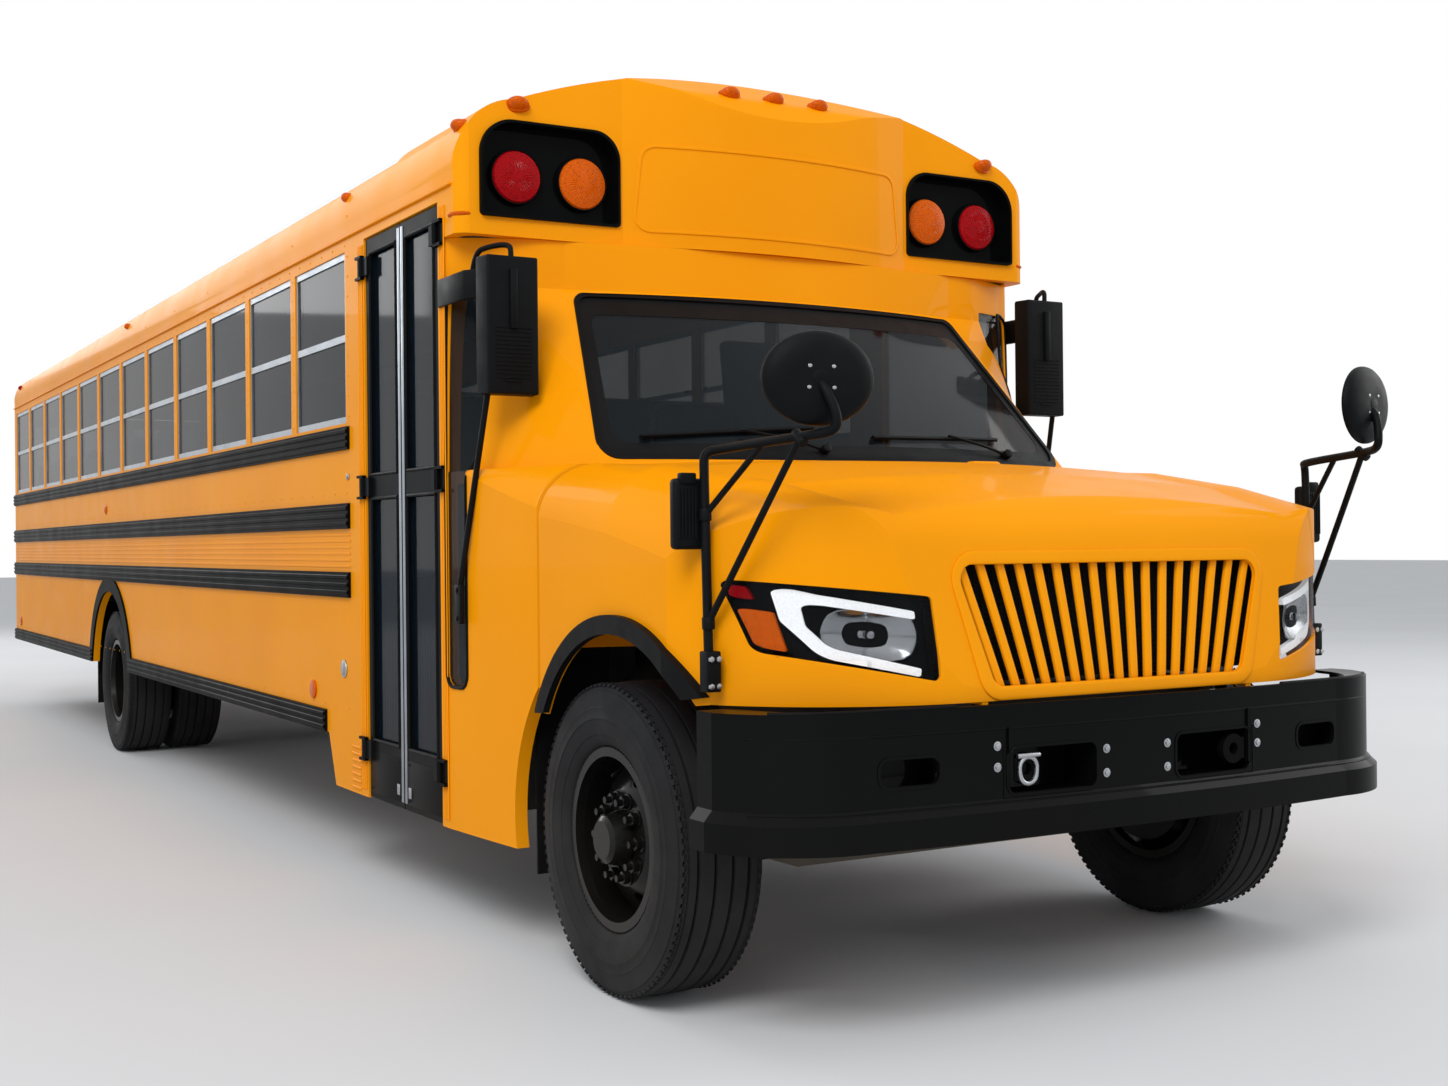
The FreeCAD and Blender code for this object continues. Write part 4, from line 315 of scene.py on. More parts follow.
NODE_FINISH = [
    (chassis_paint, "frame_rails front_axle rear_axle fuel_tank seat_legs"),
    (spring_steel, "leaf_springs driveshaft exhaust tie_rod"),
    (cast_iron, "engine_block knuckle_left knuckle_right"),
    (brushed_alu, "radiator window_frames"),
    (wheel_enamel, "front_wheel_left front_wheel_right rear_wheels_left rear_wheels_right"),
    (tyre_rubber, "front_tyre_left front_tyre_right rear_tyres_left rear_tyres_right"),
    (floor_rubber, "floor entry_steps"),
    (body_enamel, "side_wall_left side_wall_right rear_wall cab_shell front_cap hood grille rear_door"),
    (roof_enamel, "roof"),
    (screen_glass, "cab_glass"),
    (window_glass, "side_glass entry_glass_front entry_glass_rear rear_door_glass"),
    (black_gloss, "rub_rails front_fittings lamp_trays hinges"),
    (bumper_enamel, "front_bumper rear_bumper"),
    (amber_lens, "amber_lamps"),
    (red_lens, "red_lamps"),
    (trim_rubber, "mud_flaps front_flares"),
    (moulded_black, "side_mirrors steering_wheel crossover_mirrors"),
    (dash_plastic, "dashboard"),
    (seat_cloth, "driver_seat"),
    (seat_vinyl, "passenger_seats"),
    (lamp_glass, "headlamps"),
    (door_paint, "entry_door_front entry_door_rear"),
    (white_enamel, "hatch_front hatch_rear"),
    (sign_sheet, "stop_sign")]
for material, names in NODE_FINISH:
    for name in names.split():
        skin = nodes[name].data
        skin.materials.clear()
        skin.materials.append(material)


# ---- Shaping pieces ----
def leave_edit():
    """Goes back to object mode."""
    bpy.ops.object.mode_set(mode="OBJECT")


def edit_all():
    """Opens the active piece in edit mode with everything selected."""
    bpy.ops.object.mode_set(mode="EDIT")
    bpy.ops.mesh.select_all(action="SELECT")


def leave_outward():
    """Turns all faces of the open piece outward and goes back to object mode."""
    bpy.ops.mesh.select_all(action="SELECT")
    bpy.ops.mesh.normals_make_consistent(inside=False)
    leave_edit()


def turn_outward():
    """Turns all faces of the active piece outward."""
    bpy.ops.object.mode_set(mode="EDIT")
    leave_outward()


def pick_faces(piece, wanted):
    """Opens a piece in edit mode with only the wanted faces selected."""
    bpy.ops.object.mode_set(mode="EDIT")
    bpy.ops.mesh.select_all(action="DESELECT")
    leave_edit()
    for face in piece.data.polygons:
        face.select = wanted(face)
    bpy.ops.object.mode_set(mode="EDIT")


def alone(piece):
    """Makes one object the only selected and active one."""
    bpy.ops.object.select_all(action="DESELECT")
    piece.select_set(True)
    bpy.context.view_layer.objects.active = piece
    return piece


def settled(piece):
    """Writes an object's place, turn and size into its mesh."""
    alone(piece)
    bpy.ops.object.transform_apply(location=True, rotation=True, scale=True)
    return piece


def modified(piece, kind, **settings):
    """Adds a modifier and applies it."""
    alone(piece)
    made = piece.modifiers.new("shaping", kind)
    for key, value in settings.items():
        setattr(made, key, value)
    bpy.ops.object.modifier_apply(modifier=made.name)
    return piece


def eased(piece, width, segments=2, angle=0.9):
    """Rounds the edges sharper than an angle in radians."""
    return modified(piece, "BEVEL", width=width, segments=segments, angle_limit=angle)


def joined(pieces):
    """Joins pieces into the first one."""
    pieces = list(pieces)
    bpy.ops.object.select_all(action="DESELECT")
    for piece in pieces:
        piece.select_set(True)
    bpy.context.view_layer.objects.active = pieces[0]
    bpy.ops.object.join()
    return pieces[0]


def copied(piece, offsets):
    """Copies a piece to further places, each with its own mesh, and joins them all."""
    twins = [piece]
    for offset in offsets:
        twin = piece.copy()
        twin.data = piece.data.copy()
        twin.data.transform(Matrix.Translation(offset))
        bpy.context.collection.objects.link(twin)
        twins.append(twin)
    return joined(twins)


def placed(piece, places):
    """Moves a piece modelled at the origin to the first place and copies it to the rest."""
    piece.data.transform(Matrix.Translation(places[0]))
    first = Vector(places[0])
    return copied(piece, [Vector(place) - first for place in places[1:]])


def block(low, high, edge=0.004, steps=2):
    """Adds a block between two corners and rounds its edges."""
    bpy.ops.object.select_all(action="DESELECT")
    bpy.ops.mesh.primitive_cube_add(size=1, location=[(a + b) / 2 for a, b in zip(low, high)])
    piece = bpy.context.object
    piece.scale = [abs(b - a) for a, b in zip(low, high)]
    settled(piece)
    if edge:
        modified(piece, "BEVEL", width=edge, segments=steps)
    return piece


def barrel(start, end, radius, sides=16, edge=0.0):
    """Adds a round bar between two points and rounds its rims."""
    start, end = Vector(start), Vector(end)
    bpy.ops.object.select_all(action="DESELECT")
    bpy.ops.mesh.primitive_cylinder_add(vertices=sides, radius=radius, depth=(end - start).length,
                                        location=(start + end) / 2)
    piece = bpy.context.object
    piece.rotation_euler = (end - start).to_track_quat("Z", "Y").to_euler()
    settled(piece)
    if edge:
        eased(piece, edge, angle=0.8)
    return piece


def rivet_dome(radius, way):
    """Low domed rivet head at the origin, facing along one axis."""
    bpy.ops.object.select_all(action="DESELECT")
    bpy.ops.mesh.primitive_uv_sphere_add(segments=8, ring_count=4, radius=radius)
    dome = settled(bpy.context.object)
    edit_all()
    bpy.ops.mesh.bisect(plane_co=(0, 0, 0), plane_no=way, use_fill=True, clear_inner=True)
    leave_edit()
    axis = way.index(1)
    for vertex in dome.data.vertices:
        vertex.co[axis] *= 0.55
    return dome


DRAW_Y, DRAW_ROW = -7.0, 0.001


def path_of(points):
    """Draws an open chain of edges point by point and leaves it selected in edit mode."""
    bpy.ops.object.select_all(action="DESELECT")
    bpy.ops.mesh.primitive_plane_add(size=0.01, location=points[0])
    piece = settled(bpy.context.object)
    edit_all()
    bpy.ops.mesh.merge(type="CENTER")
    for here, there in zip(points, points[1:]):
        bpy.ops.mesh.extrude_region_move(TRANSFORM_OT_translate={"value": Vector(there) - Vector(here)})
    bpy.ops.mesh.select_all(action="SELECT")
    return piece


def drawn(points, push, edge=0.0):
    """Draws a closed outline, fills it and pushes it out into a solid."""
    piece = path_of(points)
    bpy.ops.mesh.edge_face_add()
    bpy.ops.mesh.extrude_region_move(TRANSFORM_OT_translate={"value": push})
    leave_outward()
    if edge:
        eased(piece, edge, angle=0.8)
    return piece


def spun(points, centre, axis, steps):
    """Draws a profile and spins it a full turn round an axis."""
    piece = path_of(points)
    bpy.ops.mesh.spin(steps=steps, angle=math.tau, center=centre, axis=axis)
    bpy.ops.mesh.select_all(action="SELECT")
    bpy.ops.mesh.remove_doubles(threshold=0.0002)
    bpy.ops.mesh.normals_make_consistent(inside=False)
    leave_edit()
    return piece


def bent_tube(points, radius, sides=5, order=3):
    """Bends a round tube along a path with eased knees."""
    curve = bpy.data.curves.new("tube", "CURVE")
    curve.dimensions = "3D"
    spline = curve.splines.new("NURBS")
    spline.points.add(len(points) - 1)
    for point, place in zip(spline.points, points):
        point.co = (*place, 1.0)
    spline.order_u = order
    spline.use_endpoint_u = True
    spline.resolution_u = 6
    curve.bevel_depth = radius
    curve.bevel_resolution = sides - 3
    curve.use_fill_caps = True
    piece = bpy.data.objects.new("tube", curve)
    bpy.context.collection.objects.link(piece)
    alone(piece)
    bpy.ops.object.convert(target="MESH")
    piece = bpy.context.object
    edit_all()
    bpy.ops.mesh.remove_doubles(threshold=0.0001)
    bpy.ops.mesh.normals_make_consistent(inside=False)
    leave_edit()
    return piece


def tube(points, radius, sides=5):
    """Bent tube through (x, station, height) points."""
    return bent_tube([(x, at(station), z) for x, station, z in points], radius, sides)


def mirrored(piece):
    """Adds the piece's twin on the bus's other side."""
    return modified(piece, "MIRROR", use_axis=(True, False, False), use_mirror_merge=False)


AHEAD_Y, BEHIND_Y = -9, 20


def hit(node, origin, way):
    """First point of a CAD node met from a place along a direction."""
    found, point = nodes[node].ray_cast(Vector(origin), Vector(way))[:2]
    return point if found else None


def from_front(node, x, z):
    """First point of a CAD node met from ahead of the bus."""
    return hit(node, (x, AHEAD_Y, z), (0, 1, 0))


def from_behind(node, x, z):
    """First point of a CAD node met from behind the bus."""
    return hit(node, (x, BEHIND_Y, z), (0, -1, 0))


def round_corners(corners, steps=5):
    """Outline with rounded corners; each corner is (u, v, radius)."""
    points = []
    for i, (u, v, radius) in enumerate(corners):
        here = Vector((u, v))
        before, after = Vector(corners[i - 1][:2]), Vector(corners[(i + 1) % len(corners)][:2])
        back, ahead = (before - here).normalized(), (after - here).normalized()
        if radius <= 0:
            points.append(here)
            continue
        half = back.angle(ahead) / 2
        reach = radius / math.tan(half)
        middle = here + (back + ahead).normalized() * (radius / math.sin(half))
        start, end = here + back * reach - middle, here + ahead * reach - middle
        for k in range(steps + 1):
            points.append(middle + start.lerp(end, k / steps).normalized() * radius)
    return points


def kept(piece, name, material, body, smooth=35.0):
    """Names a finished piece, or a list joined into one, gives it its finish and lets it ride on a body."""
    if isinstance(piece, list):
        piece = joined(piece)
    piece.name = name
    piece.data.name = name
    piece.data.materials.clear()
    piece.data.materials.append(material)
    alone(piece)
    if smooth:
        bpy.ops.object.shade_smooth_by_angle(angle=math.radians(smooth))
    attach(piece, body)
    return piece


# ---- Tyres: ribbed road tread and moulded sidewalls ----
TYRE_RADIUS = 0.4475
TYRE_HALF = 0.1405
TREAD_HALF = 0.122
GROOVES = (0.027, 0.078)
GROOVE_HALF = 0.0048
GROOVE_DEPTH = 0.013
TYRE_STEPS = 96


def tread_height(x):
    """Radius of the tread's crown at a distance from its middle."""
    return TYRE_RADIUS - 0.0005 - 0.008 * (x / TREAD_HALF) ** 2


def tyre_profile():
    """Half of the tyre's section as (x, radius), from the middle of the tread to the bead."""
    half = [(0.0, tread_height(0))]
    for groove in GROOVES:
        top = tread_height(groove)
        half += [(groove - GROOVE_HALF - 0.001, top), (groove - GROOVE_HALF, top - 0.002),
                 (groove - GROOVE_HALF * 0.6, top - GROOVE_DEPTH), (groove + GROOVE_HALF * 0.6, top - GROOVE_DEPTH),
                 (groove + GROOVE_HALF, top - 0.002), (groove + GROOVE_HALF + 0.001, top)]
    half += [(0.104, tread_height(0.104)), (0.106, tread_height(0.106) - 0.003), (0.108, tread_height(0.108)),
             (TREAD_HALF - 0.003, tread_height(TREAD_HALF)), (TREAD_HALF + 0.001, 0.4345), (0.1265, 0.424),
             (0.1295, 0.423), (0.1335, 0.406), (0.1385, 0.378), (0.1392, 0.3755), (TYRE_HALF, 0.3745),
             (TYRE_HALF, 0.350), (TYRE_HALF + 0.0008, 0.349), (TYRE_HALF + 0.0008, 0.343), (TYRE_HALF - 0.0006, 0.342),
             (0.1385, 0.318), (0.1340, 0.298), (0.1325, 0.2975), (0.1300, 0.287), (0.1245, 0.276), (0.1185, 0.2685),
             (0.1090, 0.2645), (0.1085, 0.250)]
    return half


def road_tyre(x):
    """One tyre at a distance from the bus's middle: spun section, then notches cut in both shoulders."""
    half = tyre_profile()
    outline = [(x - u, FRONT_AXLE_Y, TYRE_RADIUS + r) for u, r in reversed(half)]
    outline += [(x + u, FRONT_AXLE_Y, TYRE_RADIUS + r) for u, r in half[1:]]
    piece = spun(outline, (x, FRONT_AXLE_Y, TYRE_RADIUS), (1, 0, 0), TYRE_STEPS)

    def notched(face):
        """Every second face round the outermost rib."""
        around = math.atan2(face.center.z - TYRE_RADIUS, face.center.y - FRONT_AXLE_Y) / math.tau * TYRE_STEPS
        return 0.108 < abs(face.center.x - x) < TREAD_HALF - 0.001 and int(around + TYRE_STEPS) % 2 == 0

    pick_faces(piece, notched)
    bpy.ops.mesh.inset(thickness=0.007, use_individual=True)
    bpy.ops.mesh.extrude_region_shrink_fatten(TRANSFORM_OT_shrink_fatten={"value": -0.006})
    leave_edit()
    return piece


FRONT_WHEEL_X = 1.030
REAR_OUTER_X = 1.062
DUAL_SPACING = 0.312
front_tyre = road_tyre(FRONT_WHEEL_X)
TYRE_PLACES = [
    ("front_tyre_right", "wheel_front_right", [(-2 * FRONT_WHEEL_X, 0, 0)]),
    ("rear_tyres_left", "wheel_rear_left", [(REAR_OUTER_X - FRONT_WHEEL_X, WHEELBASE, 0),
                                            (REAR_OUTER_X - DUAL_SPACING - FRONT_WHEEL_X, WHEELBASE, 0)]),
    ("rear_tyres_right", "wheel_rear_right", [(-REAR_OUTER_X - FRONT_WHEEL_X, WHEELBASE, 0),
                                              (-REAR_OUTER_X + DUAL_SPACING - FRONT_WHEEL_X, WHEELBASE, 0)])]
for node, body, offsets in TYRE_PLACES:
    twin = front_tyre.copy()
    twin.data = front_tyre.data.copy()
    bpy.context.collection.objects.link(twin)
    twin.data.transform(Matrix.Translation(offsets[0]))
    if len(offsets) > 1:
        twin = copied(twin, [Vector(offsets[1]) - Vector(offsets[0])])
    kept(twin, "road_" + node, tyre_rubber, body, 40.0)
    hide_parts(node)
kept(front_tyre, "road_front_tyre_left", tyre_rubber, "wheel_front_left", 40.0)
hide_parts("front_tyre_left")

# ---- Wheel nuts, hub bolts and valves ----
HUB_FACES = [("wheel_front_left", FRONT_WHEEL_X + 0.076, 1, 0.0, True),
             ("wheel_front_right", -FRONT_WHEEL_X - 0.076, -1, 0.0, True),
             ("wheel_rear_left", REAR_OUTER_X - DUAL_SPACING / 2 + 0.014, 1, WHEELBASE, False),
             ("wheel_rear_right", -REAR_OUTER_X + DUAL_SPACING / 2 - 0.014, -1, WHEELBASE, False)]
NUTS, NUT_RING, BOLTS, BOLT_RING = 10, 0.1125, 8, 0.0705


def round_hub(x, y, radius, turn):
    """Point on a circle round a wheel's centre."""
    return Vector((x, y + radius * math.cos(turn), TYRE_RADIUS + radius * math.sin(turn)))


for body, face_x, side, along, front in HUB_FACES:
    y = FRONT_AXLE_Y + along
    ring = []
    for k in range(NUTS):
        place = round_hub(face_x, y, NUT_RING, math.tau * k / NUTS)
        ring.append(barrel(place, place + Vector((side * 0.024, 0, 0)), 0.0195, 6, 0.0015))
        ring.append(barrel(place, place + Vector((side * 0.005, 0, 0)), 0.0235, 16, 0.001))
    for k in range(BOLTS):
        place = round_hub(face_x + side * (0.013 if front else 0.020), y, BOLT_RING, math.tau * (k + 0.5) / BOLTS)
        ring.append(barrel(place, place + Vector((side * 0.009, 0, 0)), 0.0075, 6, 0.0008))
    valve = Vector((face_x - side * 0.030, y + 0.02, TYRE_RADIUS + 0.205))
    bend = [valve, valve + Vector((side * 0.02, 0, -0.002)), valve + Vector((side * 0.055, 0, -0.030))]
    ring.append(bent_tube(bend, 0.0045))
    kept(ring, "nuts_" + body, wheel_enamel, body)

# ---- Padded seats ----
STUFFING_PRESSURE, STUFFING_FRAMES, SWELL_CAP = 4.0, 20, 0.006
SEAM_SHARE, SEAM_HALF, SEAM_SINK = 0.34, 0.016, 0.006


def plump(low, high, lean, push, voxel, keep):
    """Upholstered pad: a rounded block, remeshed and blown up a little like a stuffed cover, then thinned."""
    pad = modified(block(low, high, 0.026, 3), "REMESH", mode="VOXEL", voxel_size=voxel)
    start = [vertex.co.copy() for vertex in pad.data.vertices]
    alone(pad)
    cloth = pad.modifiers.new("stuffing", "CLOTH")
    cloth.settings.use_pressure = True
    cloth.settings.uniform_pressure_force = STUFFING_PRESSURE
    cloth.settings.effector_weights.gravity = 0.0
    cloth.settings.quality = 5
    cloth.point_cache.frame_start = 1
    cloth.point_cache.frame_end = STUFFING_FRAMES
    for step in range(1, STUFFING_FRAMES + 1):
        scene.frame_set(step)
    bpy.ops.object.modifier_apply(modifier=cloth.name)
    for vertex, place in zip(pad.data.vertices, start):
        move = vertex.co - place
        if move.length > SWELL_CAP:
            vertex.co = place + move.normalized() * SWELL_CAP
    middle, half = [(a + b) / 2 for a, b in zip(low, high)], [(b - a) / 2 for a, b in zip(low, high)]
    thin = 1 if half[1] < half[2] else 2
    for vertex in pad.data.vertices:
        u, v, w = [(vertex.co[k] - middle[k]) / half[k] for k in range(3)]
        crown = (1 - min(1, u * u)) * (1 - min(1, (w if thin == 1 else v) ** 2))
        side_now = math.copysign(1, (v, w)[thin - 1])
        vertex.co[thin] += side_now * push * crown
        for seam in (-SEAM_SHARE, SEAM_SHARE):
            gap = abs(u - seam) * half[0]
            if gap < SEAM_HALF:
                vertex.co[thin] -= side_now * SEAM_SINK * (1 - gap / SEAM_HALF)
    modified(pad, "DECIMATE", ratio=keep)
    for vertex in pad.data.vertices:
        vertex.co.y += lean * (vertex.co.z - low[2])
    scene.frame_set(1)
    return pad


SEAT_START, SEAT_PITCH, SEAT_ROWS = 2.420, 0.750, 11
SEAT_OUT, SEAT_IN, SEAT_Y = -1.150, -0.225, at(SEAT_START)
seat = plump((SEAT_OUT, SEAT_Y + 0.010, 1.320), (SEAT_IN, SEAT_Y + 0.382, 1.420), 0.0, 0.006, 0.011, 0.14)
back = plump((SEAT_OUT, SEAT_Y + 0.405, 1.345), (SEAT_IN, SEAT_Y + 0.472, 1.995), 0.1103, 0.005, 0.013, 0.14)
bench = joined([seat, back])
seats = mirrored(copied(bench, [(0, SEAT_PITCH * k, 0) for k in range(1, SEAT_ROWS)]))
kept(seats, "passenger_seat_pads", seat_vinyl, "body", 50)
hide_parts("passenger_seats")

driver_low, driver_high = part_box("driver_seat")
x0, x1 = driver_low[0], driver_high[0]
driver_x = (x0 + x1) / 2
driver_base = plump((x0 + 0.010, at(1.340), 1.342), (x1 - 0.010, at(1.790), 1.438), 0.0, 0.008, 0.010, 0.20)
driver_back = plump((x0 + 0.010, at(1.770), 1.450), (x1 - 0.010, at(1.848), 2.160), 0.1250, 0.008, 0.011, 0.20)
driver = joined([driver_base, driver_back])
kept(driver, "driver_seat_pads", seat_cloth, "body", 50)
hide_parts("driver_seat")
bellows = [block((driver_x - 0.16, at(1.39), 1.0005), (driver_x + 0.16, at(1.71), 1.060), 0.008)]
for k in range(5):
    low, high = (driver_x - 0.135, at(1.415), 1.062 + k * 0.052), (driver_x + 0.135, at(1.685), 1.104 + k * 0.052)
    bellows.append(block(low, high, 0.014))
kept(bellows, "driver_seat_bellows", trim_rubber, "body")

# ---- Cab fittings ----
rails = [tube([(-0.86, 1.965, 1.02), (-0.86, 1.965, 1.85), (-0.86, 1.965, 1.93), (-1.12, 1.965, 1.94)], 0.014, 6)]
bend = [(0.22, 2.30, 1.003), (0.22, 2.30, 1.86), (0.24, 2.30, 1.92), (1.165, 2.30, 1.92)]
for side in (-1, 1):
    rails.append(tube([(side * x, station, z) for x, station, z in bend], 0.013, 6))
kept(rails, "grab_rails", zinc, "body")
panels = [block((x0, at(2.290), 1.16), (x1, at(2.312), 1.90), 0.006) for x0, x1 in ((-1.160, -0.245), (0.245, 1.160))]
kept(panels, "front_barriers", interior_panel, "body")
inner = [block((-0.36, at(1.000), 2.205), (0.36, at(1.020), 2.300), 0.010),
         block((-0.02, at(1.018), 2.255), (0.02, at(1.060), 2.330), 0.004)]
kept(inner, "inner_mirror", moulded_black, "body")
glass = block((-0.35, at(1.0195), 2.212), (0.35, at(1.0215), 2.293), 0.0008, 1)
kept(glass, "inner_mirror_glass", mirror_glass, "body")

# ---- Warning lamps: ribbed lenses in black bezels ----
LAMP_RADIUS, LAMP_DOME, LAMP_SPOKES = 0.089, 0.022, 72
TAIL_RADIUS, TAIL_DOME, TAIL_Z, TURN_X = 0.086, 0.016, 1.25, 0.80
BEZEL_THICK, BEZEL_DEEP = 0.007, 0.022


def ribbed_lens(centre, radius, height, out):
    """Domed lens pressed with radial ribs; out is the way it faces along Y."""
    x, y, z = centre
    bpy.ops.object.select_all(action="DESELECT")
    bpy.ops.mesh.primitive_circle_add(vertices=LAMP_SPOKES, radius=radius, fill_type="NGON", location=centre,
                                      rotation=(math.pi / 2, 0, 0))
    piece = settled(bpy.context.object)
    edit_all()
    for share in (0.955, 0.92, 0.83, 0.70, 0.52, 0.32, 0.14):
        bpy.ops.mesh.inset(thickness=0.0001)
        leave_edit()
        for vertex in piece.data.vertices:
            if vertex.select:
                flat = Vector((vertex.co.x - x, vertex.co.z - z)).normalized() * radius * share
                vertex.co = (x + flat.x, y, z + flat.y)
        bpy.ops.object.mode_set(mode="EDIT")
    bpy.ops.mesh.poke()
    leave_edit()
    for vertex in piece.data.vertices:
        u, v = vertex.co.x - x, vertex.co.z - z
        share = math.hypot(u, v) / radius
        spoke = round(math.atan2(v, u) / math.tau * LAMP_SPOKES) % 2
        rib = 0.0018 if spoke and 0.2 < share < 0.9 else 0.0
        step = 0.006 if share < 0.93 else 0.0
        vertex.co.y = y + out * ((height - step) * (1 - share ** 2) + step - rib)
    modified(piece, "SOLIDIFY", thickness=0.004, offset=-1 if out > 0 else 1)
    turn_outward()
    return piece


def lamp_ring(centre, radius, out):
    """Turned bezel round a lens."""
    x, y, z = centre
    rim, back, lip, face = z + radius, y - out * BEZEL_DEEP, y + out * 0.004, y + out * 0.008
    profile = [(back, rim - 0.001), (lip, rim - 0.001), (face, rim + 0.001), (face, rim + BEZEL_THICK * 0.6),
               (lip, rim + BEZEL_THICK), (back, rim + BEZEL_THICK)]
    return spun([(x, u, v) for u, v in [*profile, profile[0]]], centre, (0, 1, 0), 48)


amber_low, amber_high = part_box("amber_lamps")
LAMP_Z = (amber_low[2] + amber_high[2]) / 2
LAMP_FRONT_Y = amber_low[1] + 0.026
LAMP_REAR_Y = amber_high[1] - 0.026
LAMP_X = (amber_high[0] - LAMP_RADIUS, 0.992)
lenses, bezels = {0: [], 1: []}, []
for which, lamp_x in enumerate(LAMP_X):
    for side in (-1, 1):
        for y, out in ((LAMP_FRONT_Y, -1), (LAMP_REAR_Y, 1)):
            lenses[which].append(ribbed_lens((side * lamp_x, y, LAMP_Z), LAMP_RADIUS, LAMP_DOME, out))
            bezels.append(lamp_ring((side * lamp_x, y, LAMP_Z), LAMP_RADIUS, out))
TAIL_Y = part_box("red_lamps")[1][1] - 0.020
for x in (0.56, TURN_X, 1.04):
    for side in (-1, 1):
        if x != TURN_X:
            lenses[1].append(ribbed_lens((side * x, TAIL_Y, TAIL_Z), TAIL_RADIUS, TAIL_DOME, 1))
        bezels.append(lamp_ring((side * x, TAIL_Y, TAIL_Z), TAIL_RADIUS, 1))
amber_set = kept(lenses[0], "ribbed_amber_lenses", amber_lens, "body")
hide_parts("amber_lamps")
red_set = kept(lenses[1], "ribbed_red_lenses", red_lens, "body")
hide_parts("red_lamps")
turn_set = [ribbed_lens((side * TURN_X, TAIL_Y, TAIL_Z), TAIL_RADIUS, TAIL_DOME, 1) for side in (-1, 1)]
kept(turn_set, "ribbed_turn_lenses", amber_lens, "body")
kept(bezels, "lamp_bezels", black_gloss, "body")

# ---- Small marker lamps ----
def marker(place, face, long_side, tall, deep):
    """Domed marker lens on a low foot; face is the outward direction."""
    face = Vector(face).normalized()
    bpy.ops.object.select_all(action="DESELECT")
    bpy.ops.mesh.primitive_uv_sphere_add(segments=20, ring_count=10, radius=1.0)
    dome = bpy.context.object
    dome.scale = (long_side / 2, tall / 2, deep)
    settled(dome)
    edit_all()
    bpy.ops.mesh.bisect(plane_co=(0, 0, -0.004), plane_no=(0, 0, 1), use_fill=True, clear_inner=True)
    leave_edit()
    foot = barrel((0, 0, -0.008), (0, 0, 0.002), 1.0, 24)
    for vertex in foot.data.vertices:
        vertex.co.x *= long_side / 2 + 0.003
        vertex.co.y *= tall / 2 + 0.003
    piece = joined([dome, eased(foot, 0.001, angle=0.8)])
    up = Vector((0, 0, 1)) if abs(face.z) < 0.8 else Vector((0, -1, 0))
    across = up.cross(face).normalized()
    up = face.cross(across)
    turn = Matrix((across, up, face)).transposed().to_4x4()
    piece.data.transform(Matrix.Translation(place) @ turn)
    return piece


amber_marks, red_marks = [], []
CAP_MARKERS = [(0.0, 2.905), (-0.19, 2.902), (0.19, 2.902), (-1.0, 2.775), (1.0, 2.775)]
ROOF_MARKERS = [(2.18, 2.668, False), (6.45, 2.655, False), (10.95, 2.660, True)]
REAR_MARKERS = [(0.0, 2.86), (-0.19, 2.86), (0.19, 2.86), (-0.95, 2.76), (0.95, 2.76)]
for x, z in CAP_MARKERS:
    spot = from_front("front_cap", x, z) or hit("front_cap", (x, at(0.95), 4), (0, 0, -1))
    amber_marks.append(marker(spot, (0.25 * x, -1, 0.55), 0.082, 0.046, 0.040))
for side in (-1, 1):
    spot = hit("front_cap", (side * 3, at(1.02), 2.70), (-side, 0, 0))
    amber_marks.append(marker(spot, (side, -0.25, 0.25), 0.075, 0.044, 0.034))
    amber_marks.append(marker(Vector((side * 1.200, at(0.985), 2.395)), (side * 0.8, -0.5, 0.0), 0.085, 0.022, 0.022))
    for station, z, red in ROOF_MARKERS:
        spot = hit("roof", (side * 3, at(station), z), (-side, 0, 0))
        (red_marks if red else amber_marks).append(marker(spot, (side, 0, 0.35), 0.060, 0.040, 0.024))
    spot = Vector((side * HALF_WIDTH, at(7.11), 1.547))
    amber_marks.append(marker(spot, (side, 0, 0), 0.060, 0.060, 0.012))
for x, z in REAR_MARKERS:
    red_marks.append(marker(Vector((x, at(BODY_REAR) + 0.002, z)), (0, 1, 0.1), 0.078, 0.042, 0.030))
kept(amber_marks, "amber_markers", amber_lens, "body")
kept(red_marks, "red_markers", red_lens, "body")

# ---- Windshield band, gasket and wipers ----
SCREEN_LOW, SCREEN_HIGH, SCREEN_BASE, SCREEN_HEAD = 1.556, 2.151, 0.950, 0.804
SCREEN_AIM, CAP_AIM, NOSE_AIM = (0.0, 1.86), (0.0, 2.54), (0.0, 1.28)


def paired(outer, inner, gap=0.04, steps=5):
    """Two closed outlines with matching points, from corners (u, v, radius) given for each."""
    first, second = round_corners(outer, steps), round_corners(inner, steps)
    loops = ([], [])
    for k, (a, c) in enumerate(zip(first, second)):
        b, d = first[(k + 1) % len(first)], second[(k + 1) % len(second)]
        pieces = max(1, round((b - a).length / gap))
        for n in range(pieces):
            loops[0].append(a.lerp(b, n / pieces))
            loops[1].append(c.lerp(d, n / pieces))
    return loops


def screen_corners(inset, low_in, top_in, radius):
    """Corners of the windshield's outline set in from its sides, foot and head."""
    corners = []
    for side, top in ((-1, False), (1, False), (1, True), (-1, True)):
        z = SCREEN_HIGH - top_in if top else SCREEN_LOW + low_in
        share = (z - SCREEN_LOW) / (SCREEN_HIGH - SCREEN_LOW)
        corners.append((side * (SCREEN_BASE + (SCREEN_HEAD - SCREEN_BASE) * share - inset), z, radius))
    return corners


def front_y(node, x, z, middle=SCREEN_AIM):
    """Y of a CAD surface met from the front; past its edge, the nearest met on the way to its middle."""
    for k in range(40):
        share = k * 0.003
        spot = from_front(node, x + (middle[0] - x) * share, z + (middle[1] - z) * share)
        if spot:
            return spot.y
    return at(0.6)


